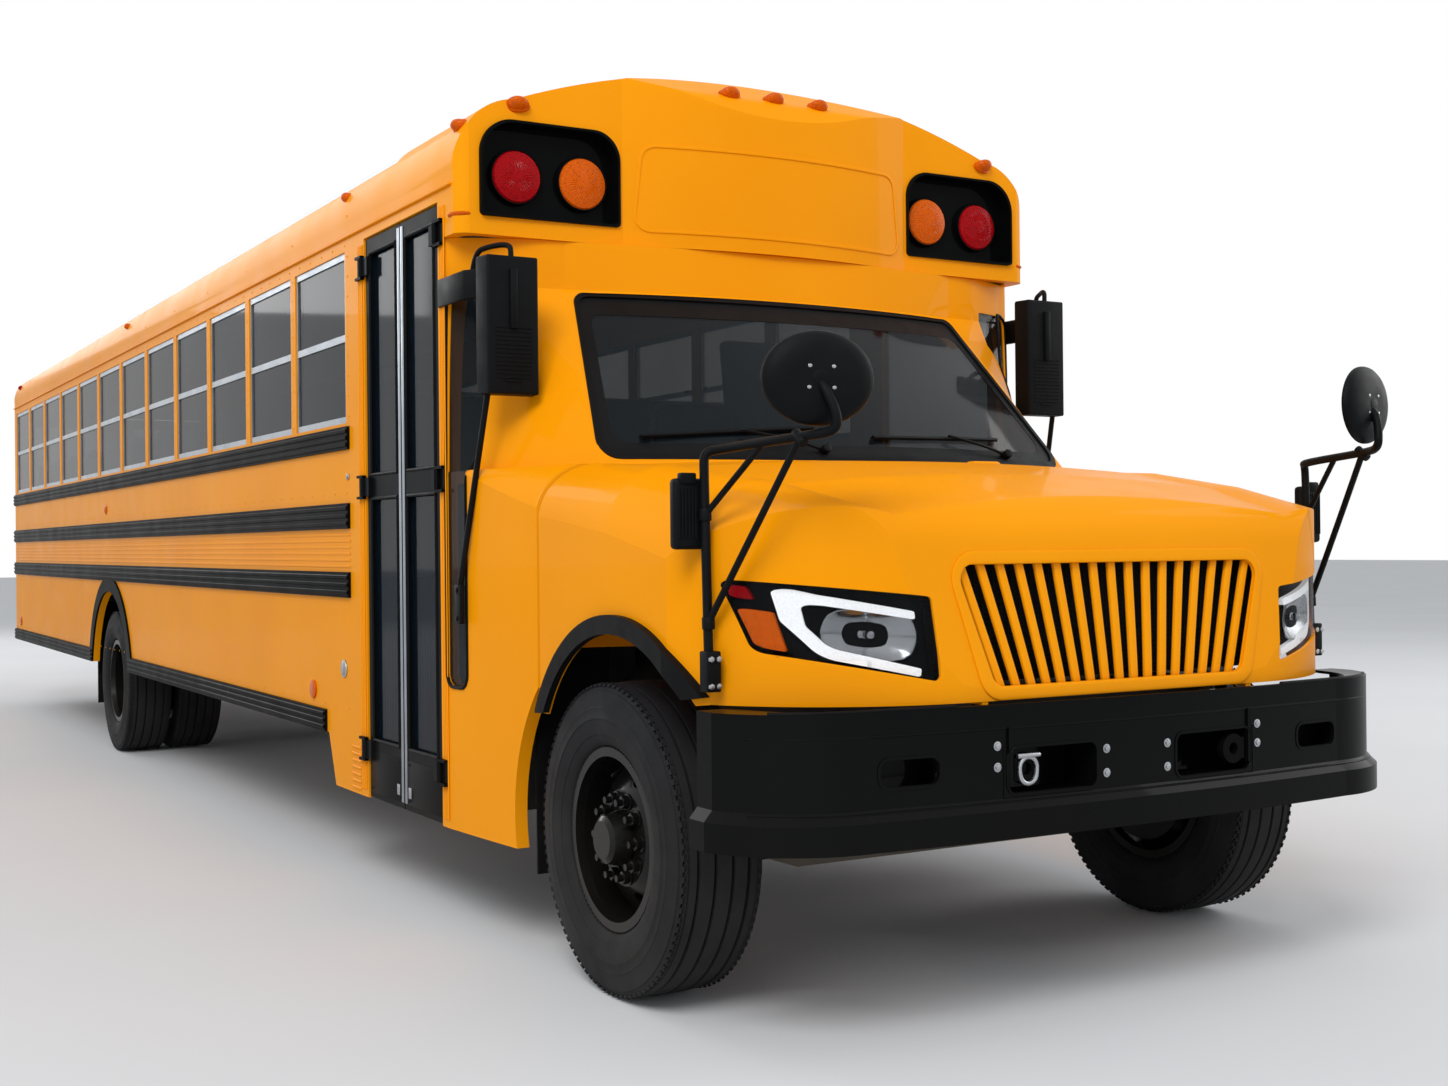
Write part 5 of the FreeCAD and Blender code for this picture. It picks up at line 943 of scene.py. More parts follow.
def band_between(outer, inner, node, back, thick, rows=3, middle=SCREEN_AIM, gap=0.04):
    """Strip between two outlines of corners, laid on a CAD surface met from the front and given a thickness."""
    loops = paired(outer, inner, gap)
    count = len(loops[0])
    piece = path_of([(p.x, DRAW_Y, p.y) for p in [*loops[0], loops[0][0]]])
    bpy.ops.mesh.remove_doubles(threshold=0.00005)
    bpy.ops.mesh.select_all(action="SELECT")
    for row in range(rows):
        bpy.ops.mesh.extrude_region_move(TRANSFORM_OT_translate={"value": (0, DRAW_ROW, 0)})
    leave_edit()
    for vertex in piece.data.vertices:
        row = round((vertex.co.y - DRAW_Y) / DRAW_ROW)
        flat = Vector((vertex.co.x, vertex.co.z))
        k = min(range(count), key=lambda n: (loops[0][n] - flat).length_squared)
        spot = loops[0][k].lerp(loops[1][k], row / rows)
        vertex.co = (spot.x, front_y(node, spot.x, spot.y, middle) - back, spot.y)
    forward = sum(face.normal.y * face.area for face in piece.data.polygons) < 0
    modified(piece, "SOLIDIFY", thickness=thick, offset=1 if forward else -1)
    turn_outward()
    return piece


outer, inner = screen_corners(0.003, 0.003, 0.003, 0.050), screen_corners(0.048, 0.052, 0.080, 0.045)
frit = band_between(outer, inner, "cab_glass", 0.0006, 0.0010)
kept(frit, "windshield_black_band", moulded_black, "body")
outer, inner = screen_corners(-0.004, -0.004, -0.004, 0.055), screen_corners(0.015, 0.015, 0.015, 0.045)
seal = band_between(outer, inner, "cab_glass", 0.0014, 0.0075)
kept(seal, "windshield_seal", trim_rubber, "body")


def on_glass(x, z, off):
    """Point in front of the windshield by a distance."""
    spot = from_front("cab_glass", x, z)
    return Vector((x, (spot.y if spot else at(0.3)) - off, z))


def wiper(pivot_x, tip_x, tip_z, low, high):
    """Wiper arm from a spindle at the screen's foot, with its blade laid on the glass."""
    pivot = on_glass(pivot_x, 1.590, 0.010)
    middle = [(a + b) / 2 for a, b in zip(low, high)]
    knee = pivot.lerp(on_glass(tip_x, tip_z, 0.045), 0.3) + Vector((0, -0.02, 0.01))
    arm = bent_tube([pivot, knee, on_glass(tip_x, tip_z, 0.030)], 0.0055)
    hub = barrel(pivot + Vector((0, 0.01, -0.004)), pivot + Vector((0, -0.022, 0.010)), 0.016, 16, 0.003)
    blade = bent_tube([on_glass(*low, 0.016), on_glass(*middle, 0.020), on_glass(*high, 0.016)], 0.008, 4)
    squeegee = bent_tube([on_glass(*low, 0.006), on_glass(*middle, 0.008), on_glass(*high, 0.006)], 0.004, 4)
    return [arm, hub, blade, squeegee]


blades = wiper(-0.20, -0.47, 1.655, (-0.80, 1.632), (-0.20, 1.668))
blades += wiper(0.62, 0.36, 1.655, (0.02, 1.640), (0.62, 1.650))
kept(blades, "wipers", moulded_black, "body")

# ---- Pressed panel on the cap and gaskets of the vision windows ----
def grown(foot, head, z0, z1, grow, radius):
    """Rounded corners of an opening, its foot and head given as (left, right), grown by a distance."""
    return [(foot[0] - grow, z0 - grow, radius), (foot[1] + grow, z0 - grow, radius),
            (head[1] + grow, z1 + grow, radius), (head[0] - grow, z1 + grow, radius)]


CAP_PANEL = ((-0.567, 0.567), (-0.535, 0.535), 2.392, 2.680)
outer, inner = grown(*CAP_PANEL, 0.012, 0.060), grown(*CAP_PANEL, 0.0, 0.048)
bead = band_between(outer, inner, "front_cap", 0.0002, 0.0035, 1, CAP_AIM)
eased(bead, 0.0030, 3)
kept(bead, "cap_panel_bead", body_enamel, "body")


def vision_gasket(low, high):
    """Rubber gasket round the door-side vision window, following the cab's flank."""
    corners = [(0.920, low, 0.045), (1.073, low, 0.045), (1.073, high, 0.045), (0.920, high, 0.045)]
    points = []
    for p in paired(corners, corners, 0.09, 4)[0]:
        spot = hit("cab_shell", (-3, at(p.x), p.y), (1, 0, 0))
        if spot and spot.x < -1.0:
            points.append((spot.x - 0.001, at(p.x), p.y))
    return bent_tube([*points, points[0]], 0.0065, 5, 2)


VISION_LOW, VISION_HIGH = 0.815, 2.2045
kept(mirrored(vision_gasket(VISION_LOW, VISION_HIGH)), "vision_window_gaskets", trim_rubber, "body")

# ---- Headlamps ----
HEADLAMP = [(0.622, 0.925), (1.045, 1.008), (1.100, 1.195), (0.640, 1.145)]
LAMP_MIDDLE_X, LAMP_MIDDLE_Z = 0.86, 1.07


def in_lamp(u, v):
    """Point of the right-hand lamp's outline for shares outward from the grille and up."""
    low = Vector(HEADLAMP[0]).lerp(Vector(HEADLAMP[1]), u)
    high = Vector(HEADLAMP[3]).lerp(Vector(HEADLAMP[2]), u)
    spot = low.lerp(high, v)
    return spot - Vector((0, 0.022 * math.sin(math.pi * min(max(u, 0), 1)) * (1 - v)))


def lamp_face(x, z, back):
    """Point on the lamp's front form, on the door side, moved back into the hood."""
    spot = None
    for pull in (0.0, 0.004, 0.008, 0.014, 0.022, 0.032):
        spot = from_front("headlamps", -(x + (LAMP_MIDDLE_X - x) * pull * 2), z + (LAMP_MIDDLE_Z - z) * pull * 2)
        if spot:
            break
    y = spot.y if spot else at(-0.62)
    return Vector((-x, y + back, z))


def lamp_patch(outline, back, deep, edge=0.0, cells=0.030):
    """Solid patch of the lamp: an outline of (u, v) shares laid on the front form, then given depth."""
    flat = [in_lamp(u, v) for u, v in outline]
    loop = []
    for a, b in zip(flat, flat[1:] + flat[:1]):
        pieces = max(1, round((b - a).length / cells))
        loop += [a.lerp(b, k / pieces) for k in range(pieces)]
    piece = path_of([(-p.x, DRAW_Y, p.y) for p in loop])
    bpy.ops.mesh.edge_face_add()
    leave_edit()
    low = [min(p[k] for p in loop) for k in (0, 1)]
    high = [max(p[k] for p in loop) for k in (0, 1)]
    bpy.ops.object.mode_set(mode="EDIT")
    for axis, (a, b) in enumerate(zip(low, high)):
        for k in range(1, max(2, round((b - a) / cells))):
            cut = a + (b - a) * k / max(2, round((b - a) / cells))
            bpy.ops.mesh.select_all(action="SELECT")
            where, way = ((-cut, 0, 0), (1, 0, 0)) if axis == 0 else ((0, 0, cut), (0, 0, 1))
            bpy.ops.mesh.bisect(plane_co=where, plane_no=way)
    bpy.ops.mesh.select_all(action="SELECT")
    bpy.ops.mesh.remove_doubles(threshold=0.0004)
    bpy.ops.mesh.normals_make_consistent(inside=False)
    leave_edit()
    for vertex in piece.data.vertices:
        vertex.co = lamp_face(-vertex.co.x, vertex.co.z, back)
    forward = sum(face.normal.y for face in piece.data.polygons) < 0
    modified(piece, "SOLIDIFY", thickness=deep, offset=-1 if forward else 1, use_even_offset=False)
    if edge:
        eased(piece, edge)
    turn_outward()
    return piece


def rounded(corners, steps=4):
    """Outline with rounded corners, in shares of the lamp."""
    return [tuple(p) for p in round_corners(corners, steps)]


FULL = rounded([(0.0, 0.0, 0.05), (1.0, 0.0, 0.16), (1.0, 1.0, 0.05), (0.0, 1.0, 0.05)])
OPENING = rounded([(0.030, 0.05, 0.05), (0.965, 0.06, 0.15), (0.965, 0.94, 0.05), (0.035, 0.94, 0.05)])
housing = mirrored(lamp_patch(FULL, 0.046, 0.010))
kept(housing, "headlamp_housings", black_gloss, "hood")
cover = mirrored(lamp_patch(FULL, 0.0015, 0.003))
kept(cover, "headlamp_covers", lamp_glass, "hood")
rim = lamp_patch(FULL, 0.0045, 0.045)
cutter = lamp_patch(OPENING, -0.05, 0.2)
modified(rim, "BOOLEAN", object=cutter, operation="DIFFERENCE", solver="EXACT")
bpy.data.objects.remove(cutter)
kept(mirrored(rim), "headlamp_rims", black_gloss, "hood", 30)

C_STRIP = rounded([(0.100, 0.81, 0.02), (0.60, 0.90, 0.06), (0.70, 0.935, 0.05), (0.80, 0.935, 0.07),
                   (0.800, 0.52, 0.16), (0.66, 0.16, 0.14), (0.10, 0.055, 0.02), (0.09, 0.150, 0.02),
                   (0.60, 0.29, 0.12), (0.690, 0.50, 0.12), (0.690, 0.77, 0.07), (0.58, 0.78, 0.05),
                   (0.10, 0.715, 0.02)], 4)
strip = mirrored(lamp_patch(C_STRIP, 0.020, 0.016, 0.0, 0.022))
kept(strip, "light_guides", white_light, "hood")
AMBER = rounded([(0.815, 0.13, 0.02), (0.955, 0.10, 0.05), (0.965, 0.62, 0.04), (0.822, 0.62, 0.02)], 3)
turn = mirrored(lamp_patch(AMBER, 0.018, 0.022, 0.0, 0.024))
kept(turn, "headlamp_turn_lenses", amber_lens, "hood")
CORNER = rounded([(0.885, 0.76, 0.01), (0.968, 0.76, 0.03), (0.965, 0.93, 0.03), (0.895, 0.93, 0.02)], 2)
reflex = mirrored(lamp_patch(CORNER, 0.018, 0.018))
kept(reflex, "headlamp_side_reflectors", red_lens, "hood")


def reflector_bowl():
    """Stepped chrome bowl of the main beam with its bulb cap."""
    low_in, high_out = in_lamp(0.12, 0.26), in_lamp(0.60, 0.76)
    centre = in_lamp(0.36, 0.50)
    y = lamp_face(centre.x, centre.y, 0.024).y
    wide, tall = (high_out.x - low_in.x) / 2, (high_out.y - low_in.y) / 2
    bpy.ops.object.select_all(action="DESELECT")
    bpy.ops.mesh.primitive_circle_add(vertices=28, radius=1.0, fill_type="NGON")
    bowl = settled(bpy.context.object)
    edit_all()
    for amount, push in ((0.03, 0.0), (0.17, -0.35), (0.18, -0.28), (0.20, -0.20), (0.20, -0.12), (0.08, 0.30)):
        bpy.ops.mesh.inset(thickness=amount, depth=0.0)
        bpy.ops.transform.translate(value=(0, 0, push))
    leave_edit()
    for vertex in bowl.data.vertices:
        u, v, d = vertex.co
        reach = max(abs(u), abs(v), 1e-6)
        square = (u * u + v * v) ** 0.5 / reach
        u, v = u * (0.62 + 0.38 * square), v * (0.62 + 0.38 * square)
        x = centre.x + u * wide
        front = lamp_face(x, centre.y + v * tall, 0.022).y
        vertex.co = (-x, front - d * 0.034, centre.y + v * tall + 0.06 * u * wide)
    modified(bowl, "SOLIDIFY", thickness=0.003, offset=0)
    turn_outward()
    back = lamp_face(centre.x, centre.y, 0.0).y
    cap = barrel((-centre.x, back + 0.040, centre.y), (-centre.x, back + 0.020, centre.y), 0.011, 16, 0.004)
    return joined([bowl, cap])


kept(mirrored(reflector_bowl()), "headlamp_reflectors", chrome, "hood", 25)
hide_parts("headlamps")

# ---- Mirrors on the front corners ----
def side_mirror():
    """Tall moulded mirror head with ribs on its back, box arm, loop tube and long brace, for the door side."""
    inner, outer, front, back, low, high = 1.022, 1.222, at(0.715), at(0.790), 1.775, 2.222
    head = block((-outer, front, low), (-inner, back, high), 0.0)
    for vertex in head.data.vertices:
        if vertex.co.y < (front + back) / 2:
            vertex.co.x += 0.012 if vertex.co.x < -(inner + outer) / 2 else -0.012
    pick_faces(head, lambda face: face.normal.y > 0.9)
    bpy.ops.mesh.inset(thickness=0.010)
    bpy.ops.transform.translate(value=(0, -0.010, 0))
    leave_edit()
    eased(head, 0.014, 4, 0.7)
    ribs = []
    for k in range(13):
        z = 1.825 + k * 0.0135
        ribs.append(block((-1.186, front - 0.0025, z), (-1.058, front + 0.004, z + 0.006), 0.0015, 1))
    bar = block((-1.1355, front - 0.012, 1.985), (-1.1085, front + 0.004, 2.180), 0.006)
    foot = block((-1.150, front - 0.0045, 1.815), (-1.094, front + 0.003, 1.821), 0.001, 1)
    bend = [(-1.120, 0.765), (-1.170, 0.765), (-1.2325, 0.870), (-1.2325, 1.105), (-1.2205, 1.105), (-1.2205, 0.900)]
    arm = drawn([(x, at(station), 2.095) for x, station in bend], (0, 0, 0.095), 0.004)
    loop = tube([(-1.122, 0.742, 2.02), (-1.122, 0.722, 2.235), (-1.128, 0.735, 2.262), (-1.165, 0.80, 2.262),
                 (-1.195, 0.865, 2.250), (-1.199, 0.875, 2.165)], 0.009, 6)
    return [head, *ribs, bar, foot, arm, loop]


def side_brace():
    """Long brace from the mirror's foot to a two-bolt bracket low on the body."""
    foot = block((-1.2395, at(0.907), 1.030), (-1.2215, at(0.958), 1.160), 0.004)
    bar = tube([(-1.232, 0.932, 1.128), (-1.212, 0.845, 1.470), (-1.191, 0.757, 1.812)], 0.010, 6)
    bolts = [barrel((-1.2385, at(0.932), z), (-1.2438, at(0.932), z), 0.0085, 6, 0.001) for z in (1.048, 1.142)]
    return [foot, bar, *bolts]


mirrors = mirrored(joined(side_mirror() + side_brace()))
kept(mirrors, "side_mirrors_moulded", moulded_black, "body")
pane = block((-1.208, at(0.7795), 1.790), (-1.036, at(0.7835), 2.207), 0.0015, 2)
kept(mirrored(pane), "side_mirror_glass", mirror_glass, "body")
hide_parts("side_mirrors")


# ---- Cross-view mirrors on the fenders ----
def crossover():
    """Oval dome mirror on a bent tube with two braces, standing on the door-side fender."""
    stem = tube([(-1.130, -0.545, 0.930), (-1.130, -0.527, 1.475), (-1.128, -0.526, 1.522), (-1.098, -0.545, 1.530),
                 (-1.030, -0.850, 1.548), (-0.985, -0.925, 1.556), (-0.985, -0.9285, 1.600), (-1.003, -0.905, 1.660),
                 (-1.003, -0.890, 1.672)], 0.0125, 7)
    long_brace = tube([(-1.130, -0.541, 1.080), (-1.080, -0.690, 1.315), (-1.030, -0.832, 1.545)], 0.0095, 6)
    short_brace = tube([(-1.130, -0.531, 1.360), (-1.095, -0.615, 1.447), (-1.060, -0.702, 1.535)], 0.0085, 6)
    clamps = [barrel((-1.130, at(-0.5435), 1.065), (-1.130, at(-0.5425), 1.098), 0.017, 16, 0.003),
              barrel((-1.130, at(-0.5315), 1.345), (-1.130, at(-0.531), 1.378), 0.017, 16, 0.003),
              barrel((-1.031, at(-0.850), 1.530), (-1.031, at(-0.812), 1.560), 0.013, 12, 0.002)]
    outline = [(-1.151, 0.905), (-1.151, 1.010), (-1.109, 1.010), (-1.109, 0.905)]
    foot = drawn([(x, at(-0.572), z) for x, z in outline], (0, 0.042, 0), 0.004)
    plate = [block((-1.212, at(-0.520), 1.272), (-1.120, at(-0.484), 1.456), 0.012, 3),
             block((-1.196, at(-0.526), 1.440), (-1.150, at(-0.500), 1.470), 0.005)]
    for k in range(6):
        low, high = (-1.204 + k * 0.010, at(-0.524), 1.300), (-1.199 + k * 0.010, at(-0.518), 1.430)
        plate.append(block(low, high, 0.001, 1))
    return [stem, long_brace, short_brace, *clamps, foot, *plate]


arms = mirrored(joined(crossover()))
kept(arms, "crossover_arms", moulded_black, "hood")
bolts = [barrel((x, at(-0.571), z), (x, at(-0.580), z), 0.0085, 6, 0.001)
         for x in (-1.141, -1.119) for z in (0.920, 0.990)]
kept(mirrored(joined(bolts)), "crossover_foot_bolts", zinc, "hood")
centre = (-1.002, at(-0.885), 1.690)
DISH_STEPS, SCREW_RING, DISH_TURN, DISH_SQUASH = 48, 0.045, 15, 0.81


def dish(profile):
    """Spins a (station, radius) profile round the mirror's own axis."""
    points = [(centre[0], at(station), centre[2] + radius) for station, radius in profile]
    return spun(points, centre, (0, 1, 0), DISH_STEPS)


shell = dish(((-0.9040, 0.0), (-0.9038, 0.060), (-0.8990, 0.104), (-0.8905, 0.130), (-0.8820, 0.1415),
              (-0.8740, 0.1455), (-0.8665, 0.1455), (-0.8660, 0.1420), (-0.8710, 0.1405), (-0.8720, 0.0)))
screws = []
for angle in (0.8, 2.3, 3.9, 5.5):
    x, z = centre[0] + SCREW_RING * math.cos(angle), centre[2] + SCREW_RING * math.sin(angle)
    screws.append(barrel((x, at(-0.9030), z), (x, at(-0.9045), z), 0.006, 6, 0.0006))
ball = barrel((centre[0], at(-0.9030), centre[2]), (centre[0], at(-0.9048), centre[2]), 0.024, 20, 0.0008)
dome = dish(((-0.8710, 0.0), (-0.8710, 0.1395), (-0.8695, 0.1390), (-0.8662, 0.120), (-0.8655, 0.06), (-0.8652, 0.0)))
head = joined([shell, ball])
screws = joined(screws)
turn = Matrix.Translation((centre[0], at(-0.878), centre[2])) @ Matrix.Rotation(-math.radians(DISH_TURN), 4, "Z")
turn = turn @ Matrix.Diagonal((1.0, 1.0, DISH_SQUASH, 1.0)) @ Matrix.Translation((-centre[0], -centre[1], -centre[2]))
for piece in (head, dome, screws):
    piece.data.transform(turn)
kept(mirrored(screws), "crossover_screws", zinc, "hood")
kept(mirrored(head), "crossover_shells", moulded_black, "hood")
kept(mirrored(dome), "crossover_domes", mirror_glass, "hood")
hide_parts("crossover_mirrors")

# ---- Nose: raised surround, leaning bars, dark mesh behind them and a black sheet behind the mesh as painted shade ----
def nose_y_at(x, z):
    """Y of the hood's nose met from the front."""
    return front_y("hood", x, z, NOSE_AIM)


GRILLE = ((-0.452, 0.452), (-0.560, 0.560), 0.905, 1.225)
outer, inner = grown(*GRILLE, 0.036, 0.075), grown(*GRILLE, 0.001, 0.042)
surround = band_between(outer, inner, "hood", 0.0003, 0.0050, 3, NOSE_AIM)
eased(surround, 0.0022)
kept(surround, "grille_surround", body_enamel, "hood")


def grille_slat(share):
    """One leaning bar with rounded faces, following the nose's lean."""
    low, high, half = share * 0.420, share * 0.530, 0.0135
    column = []
    for k in range(7):
        rise = k / 6
        x, z = low + (high - low) * rise, 0.898 + 0.334 * rise
        edge_x = max(-0.5, min(0.5, x))
        column.append((x, front_y("grille", x, min(max(z, 0.905), 1.225), (edge_x * 0.9, 1.06)) + 0.002, z))
    piece = block((-half, 0, 0), (half, 0.014, 1), 0.0)
    bpy.ops.object.mode_set(mode="EDIT")
    for k in range(1, 6):
        bpy.ops.mesh.select_all(action="SELECT")
        bpy.ops.mesh.bisect(plane_co=(0, 0, k / 6), plane_no=(0, 0, 1))
    leave_edit()
    for vertex in piece.data.vertices:
        x, y, z = column[round(vertex.co.z * 6)]
        vertex.co = (vertex.co.x + x, vertex.co.y + y, z)
    return eased(piece, 0.005)


slats = joined([grille_slat(-1 + 2 * k / 16) for k in range(17)])
kept(slats, "grille_slats", body_enamel, "hood")

SCREEN_FOOT, SCREEN_TALL, SCREEN_HALF, SCREEN_SWEEP = 0.912, 0.312, 0.600, 0.018
screen_y = max(nose_y_at(0.0, 1.240), nose_y_at(0.0, 0.890)) + 0.052
sweep = [(-SCREEN_HALF, SCREEN_SWEEP), (0.0, 0.0), (SCREEN_HALF, SCREEN_SWEEP)]
wire = bent_tube([(x, screen_y + back, SCREEN_FOOT) for x, back in sweep], 0.0020, 4)
level = copied(wire, [(0, 0, k * 0.0130) for k in range(1, 25)])
wire = barrel((0, screen_y + 0.003, SCREEN_FOOT), (0, screen_y + 0.003, 1.224), 0.0016, 6)
upright = copied(wire, [(x / 50, SCREEN_SWEEP * (x / 30) ** 2, 0) for x in range(-29, 30) if x])
# Painted shade: a black sheet just behind the wire mesh stands in for the shade inside the nose and closes the view
# behind the grille.
painted_shade_backing = path_of([(x, screen_y + 0.009 + 0.012 * abs(x / 0.6), SCREEN_FOOT) for x in (-0.6, -0.3, 0.0, 0.3, 0.6)])
bpy.ops.mesh.extrude_region_move(TRANSFORM_OT_translate={"value": (0, 0, SCREEN_TALL)})
leave_edit()
modified(painted_shade_backing, "SOLIDIFY", thickness=0.002, offset=0)
screen = joined([level, upright, painted_shade_backing])
for vertex in screen.data.vertices:
    vertex.co.x *= 1.0 + 0.06 * (vertex.co.z - SCREEN_FOOT) / SCREEN_TALL
kept(screen, "radiator_screen_with_shade_sheet", moulded_black, "hood")
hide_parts("grille")

# ---- Raised catch on the hood's top ----
spot = hit("hood", (0.30, at(0.10), 3), (0, 0, -1))
catch = block((0.235, spot.y - 0.030, spot.z - 0.012), (0.365, spot.y + 0.028, spot.z + 0.008), 0.0)
for vertex in catch.data.vertices:
    if vertex.co.z > spot.z:
        vertex.co.x += 0.012 if vertex.co.x < 0.30 else -0.012
        vertex.co.y += 0.008 if vertex.co.y < spot.y else -0.008
modified(catch, "BEVEL", width=0.007, segments=3)
kept(catch, "hood_raised_catch", body_enamel, "hood")

# ---- Bumper: slot liners, bolts, top strips, black slot trays as painted shade, and beads ----
SLOTS = [(0.660, 0.830, 0.672, 0.738), (0.150, 0.440, 0.630, 0.745)]
liners = []
for side in (-1, 1):
    for x0, x1, z0, z1 in SLOTS:
        span = sorted((side * x0, side * x1))
        outer, inner = grown(span, span, z0, z1, 0.009, 0.031), grown(span, span, z0, z1, 0.0015, 0.0235)
        aim = ((side * (x0 + x1) / 2) + side * 0.2, z0 - 0.04)
        liners.append(band_between(outer, inner, "front_bumper", 0.0002, 0.0022, 1, aim, 0.03))
kept(liners, "bumper_slot_lips", bumper_enamel, "body")

bolts = []
for side in (-1, 1):
    for x, z in ((0.478, 0.755), (0.478, 0.700), (0.112, 0.660), (0.112, 0.725)):
        y = front_y("front_bumper", side * x, z, (side * 0.6, 0.80))
        bolts.append(barrel((side * x, y + 0.001, z), (side * x, y - 0.005, z), 0.0085, 6, 0.0012))
        bolts.append(barrel((side * x, y + 0.001, z), (side * x, y - 0.0015, z), 0.0125, 20, 0.0005))
kept(bolts, "bumper_bolts", zinc, "body")


def ledge_strip(side):
    """Rubber strip laid along the bumper's top edge beside the nose."""
    points = []
    for k in range(9):
        x = 0.60 + k * 0.062
        y = front_y("front_bumper", side * x, 0.850, (side * 0.4, 0.80))
        points.append((side * x, y + 0.012, 0.8625))
    return bent_tube(points, 0.0055, 5)


kept([ledge_strip(-1), ledge_strip(1)], "bumper_top_strips", trim_rubber, "body")


def slot_shade_pocket(x0, x1, z0, z1, deep):
    """Pressed tray closing a bumper slot from behind, open towards the front; its black stands in for the shade inside
    the slot, as painted shade.
    """
    y = max(front_y("front_bumper", x, z0 - 0.03, (0.4 if x > 0 else -0.4, 0.62)) for x in (x0, x1)) + 0.022
    tray = block((x0, y, z0), (x1, y + deep, z1), 0.0)
    pick_faces(tray, lambda face: face.normal.y < -0.9)
    bpy.ops.mesh.inset(thickness=0.004)
    bpy.ops.mesh.extrude_region_move(TRANSFORM_OT_translate={"value": (0, deep - 0.004, 0)})
    leave_edit()
    return eased(tray, 0.0015, angle=0.8)


# Painted shade: black trays close the slots' backs so that the slots read dark, standing in for the shade inside them.
SHADE_POCKETS = [(0.745, 0.105, 0.652, 0.758, 0.05), (0.300, 0.160, 0.618, 0.757, 0.13)]
shade_pockets = [slot_shade_pocket(side * x - half, side * x + half, z0, z1, deep)
           for x, half, z0, z1, deep in SHADE_POCKETS for side in (-1, 1)]
kept(shade_pockets, "bumper_slot_shade_trays", bumper_enamel, "body")

# ---- Shackle ring on the door-side towing eye ----
SHACKLE = (-0.380, -6.0885, 0.692)
bpy.ops.object.select_all(action="DESELECT")
bpy.ops.mesh.primitive_torus_add(location=SHACKLE, rotation=(math.pi / 2, 0, 0), major_segments=32, minor_segments=10,
                                 major_radius=0.029, minor_radius=0.0065)
ring = settled(bpy.context.object)
for vertex in ring.data.vertices:
    if vertex.co.z < SHACKLE[2]:
        vertex.co.z -= 0.012 * min(1.0, (SHACKLE[2] - vertex.co.z) / 0.015)
pin = barrel((-0.418, -6.090, 0.725), (-0.342, -6.090, 0.725), 0.007, 12, 0.002)
kept([ring, pin], "shackle_ring", zinc, "body")


def face_bead(height, sunk):
    """Rolled bead along the bumper's face at one height."""
    points = []
    for k in range(41):
        x = -1.140 + k * 0.057
        spot = from_front("front_bumper", x, height)
        if spot:
            points.append((x, spot.y + sunk, height))
    return bent_tube(points, 0.0042, 6)


kept([face_bead(0.8000, 0.0022), face_bead(0.6080, 0.0022)], "bumper_face_beads", bumper_enamel, "body")

# ---- Body sides ----
SKIN = HALF_WIDTH + 0.0003
FLANK_START, FLANK_END = 2.100, 11.180
SKIRT_RUNS = [(2.424, 6.396), (7.624, 11.176)]
RAILS = [(1.670, 1.760), (1.360, 1.460), (1.090, 1.190), (0.5405, 0.630)]
SKIRT_RAIL = RAILS[-1]
BOW_STATIONS = [2.110 + k * 0.750 for k in range(13)]


def side_bar(side, s0, s1, z0, z1, out, edge=0.0015, base=SKIN):
    """Bar along one side between two stations and heights, standing out by a distance."""
    return block((side * (base - 0.0002), at(s0), z0), (side * (base + out), at(s1), z1), edge, 1)


beads, flutes, drips = [], [], []
for side in (-1, 1):
    for low, high in RAILS:
        for first, last in SKIRT_RUNS if (low, high) == SKIRT_RAIL else [(FLANK_START, FLANK_END)]:
            for k in range(3):
                z = low + (high - low) * (0.20 + 0.30 * k)
                beads.append(side_bar(side, first, last, z - 0.0085, z + 0.0085, 0.0060, 0.0045, 1.232))
    for k in range(6):
        z = 1.212 + k * 0.025
        flutes.append(side_bar(side, FLANK_START, FLANK_END, z - 0.005, z + 0.005, 0.0022, 0.002))
    drips.append(side_bar(side, 1.00, FLANK_END, 2.4945, 2.5045, 0.011, 0.003))
kept(beads, "rub_rail_beads", black_gloss, "body")
kept(flutes, "side_panel_flutes", body_enamel, "body")
kept(drips, "drip_rails", body_enamel, "body")

# ---- Entrance: fluted jambs, stepwell ribs, seam strips and kick plates ----
jambs = []
for station in (1.068, 1.082, 1.096, 1.110, 1.930, 1.944, 1.958, 1.972):
    jambs.append(side_bar(-1, station - 0.004, station + 0.004, 0.362, 2.440, 0.0040, 0.003))
for k in range(7):
    z = 0.352 + k * 0.026
    jambs.append(side_bar(-1, 1.990, 2.095, z, z + 0.011, 0.0040, 0.004))
kept(jambs, "entrance_jamb_flutes", body_enamel, "body")

LEAF_FACE, LEAF_LOW, LEAF_HIGH, SEAM_WIDTH, KICK_TALL, CATCH_IN = 1.214, 0.360, 2.440, 0.020, 0.160, 0.052


def on_leaf(low, high, z0, z1, out, edge, sunk=0.001):
    """Block on the entrance leaves' outer face between two stations and heights."""
    return block((-(LEAF_FACE + out), at(low), z0), (-(LEAF_FACE - sunk), at(high), z1), edge)


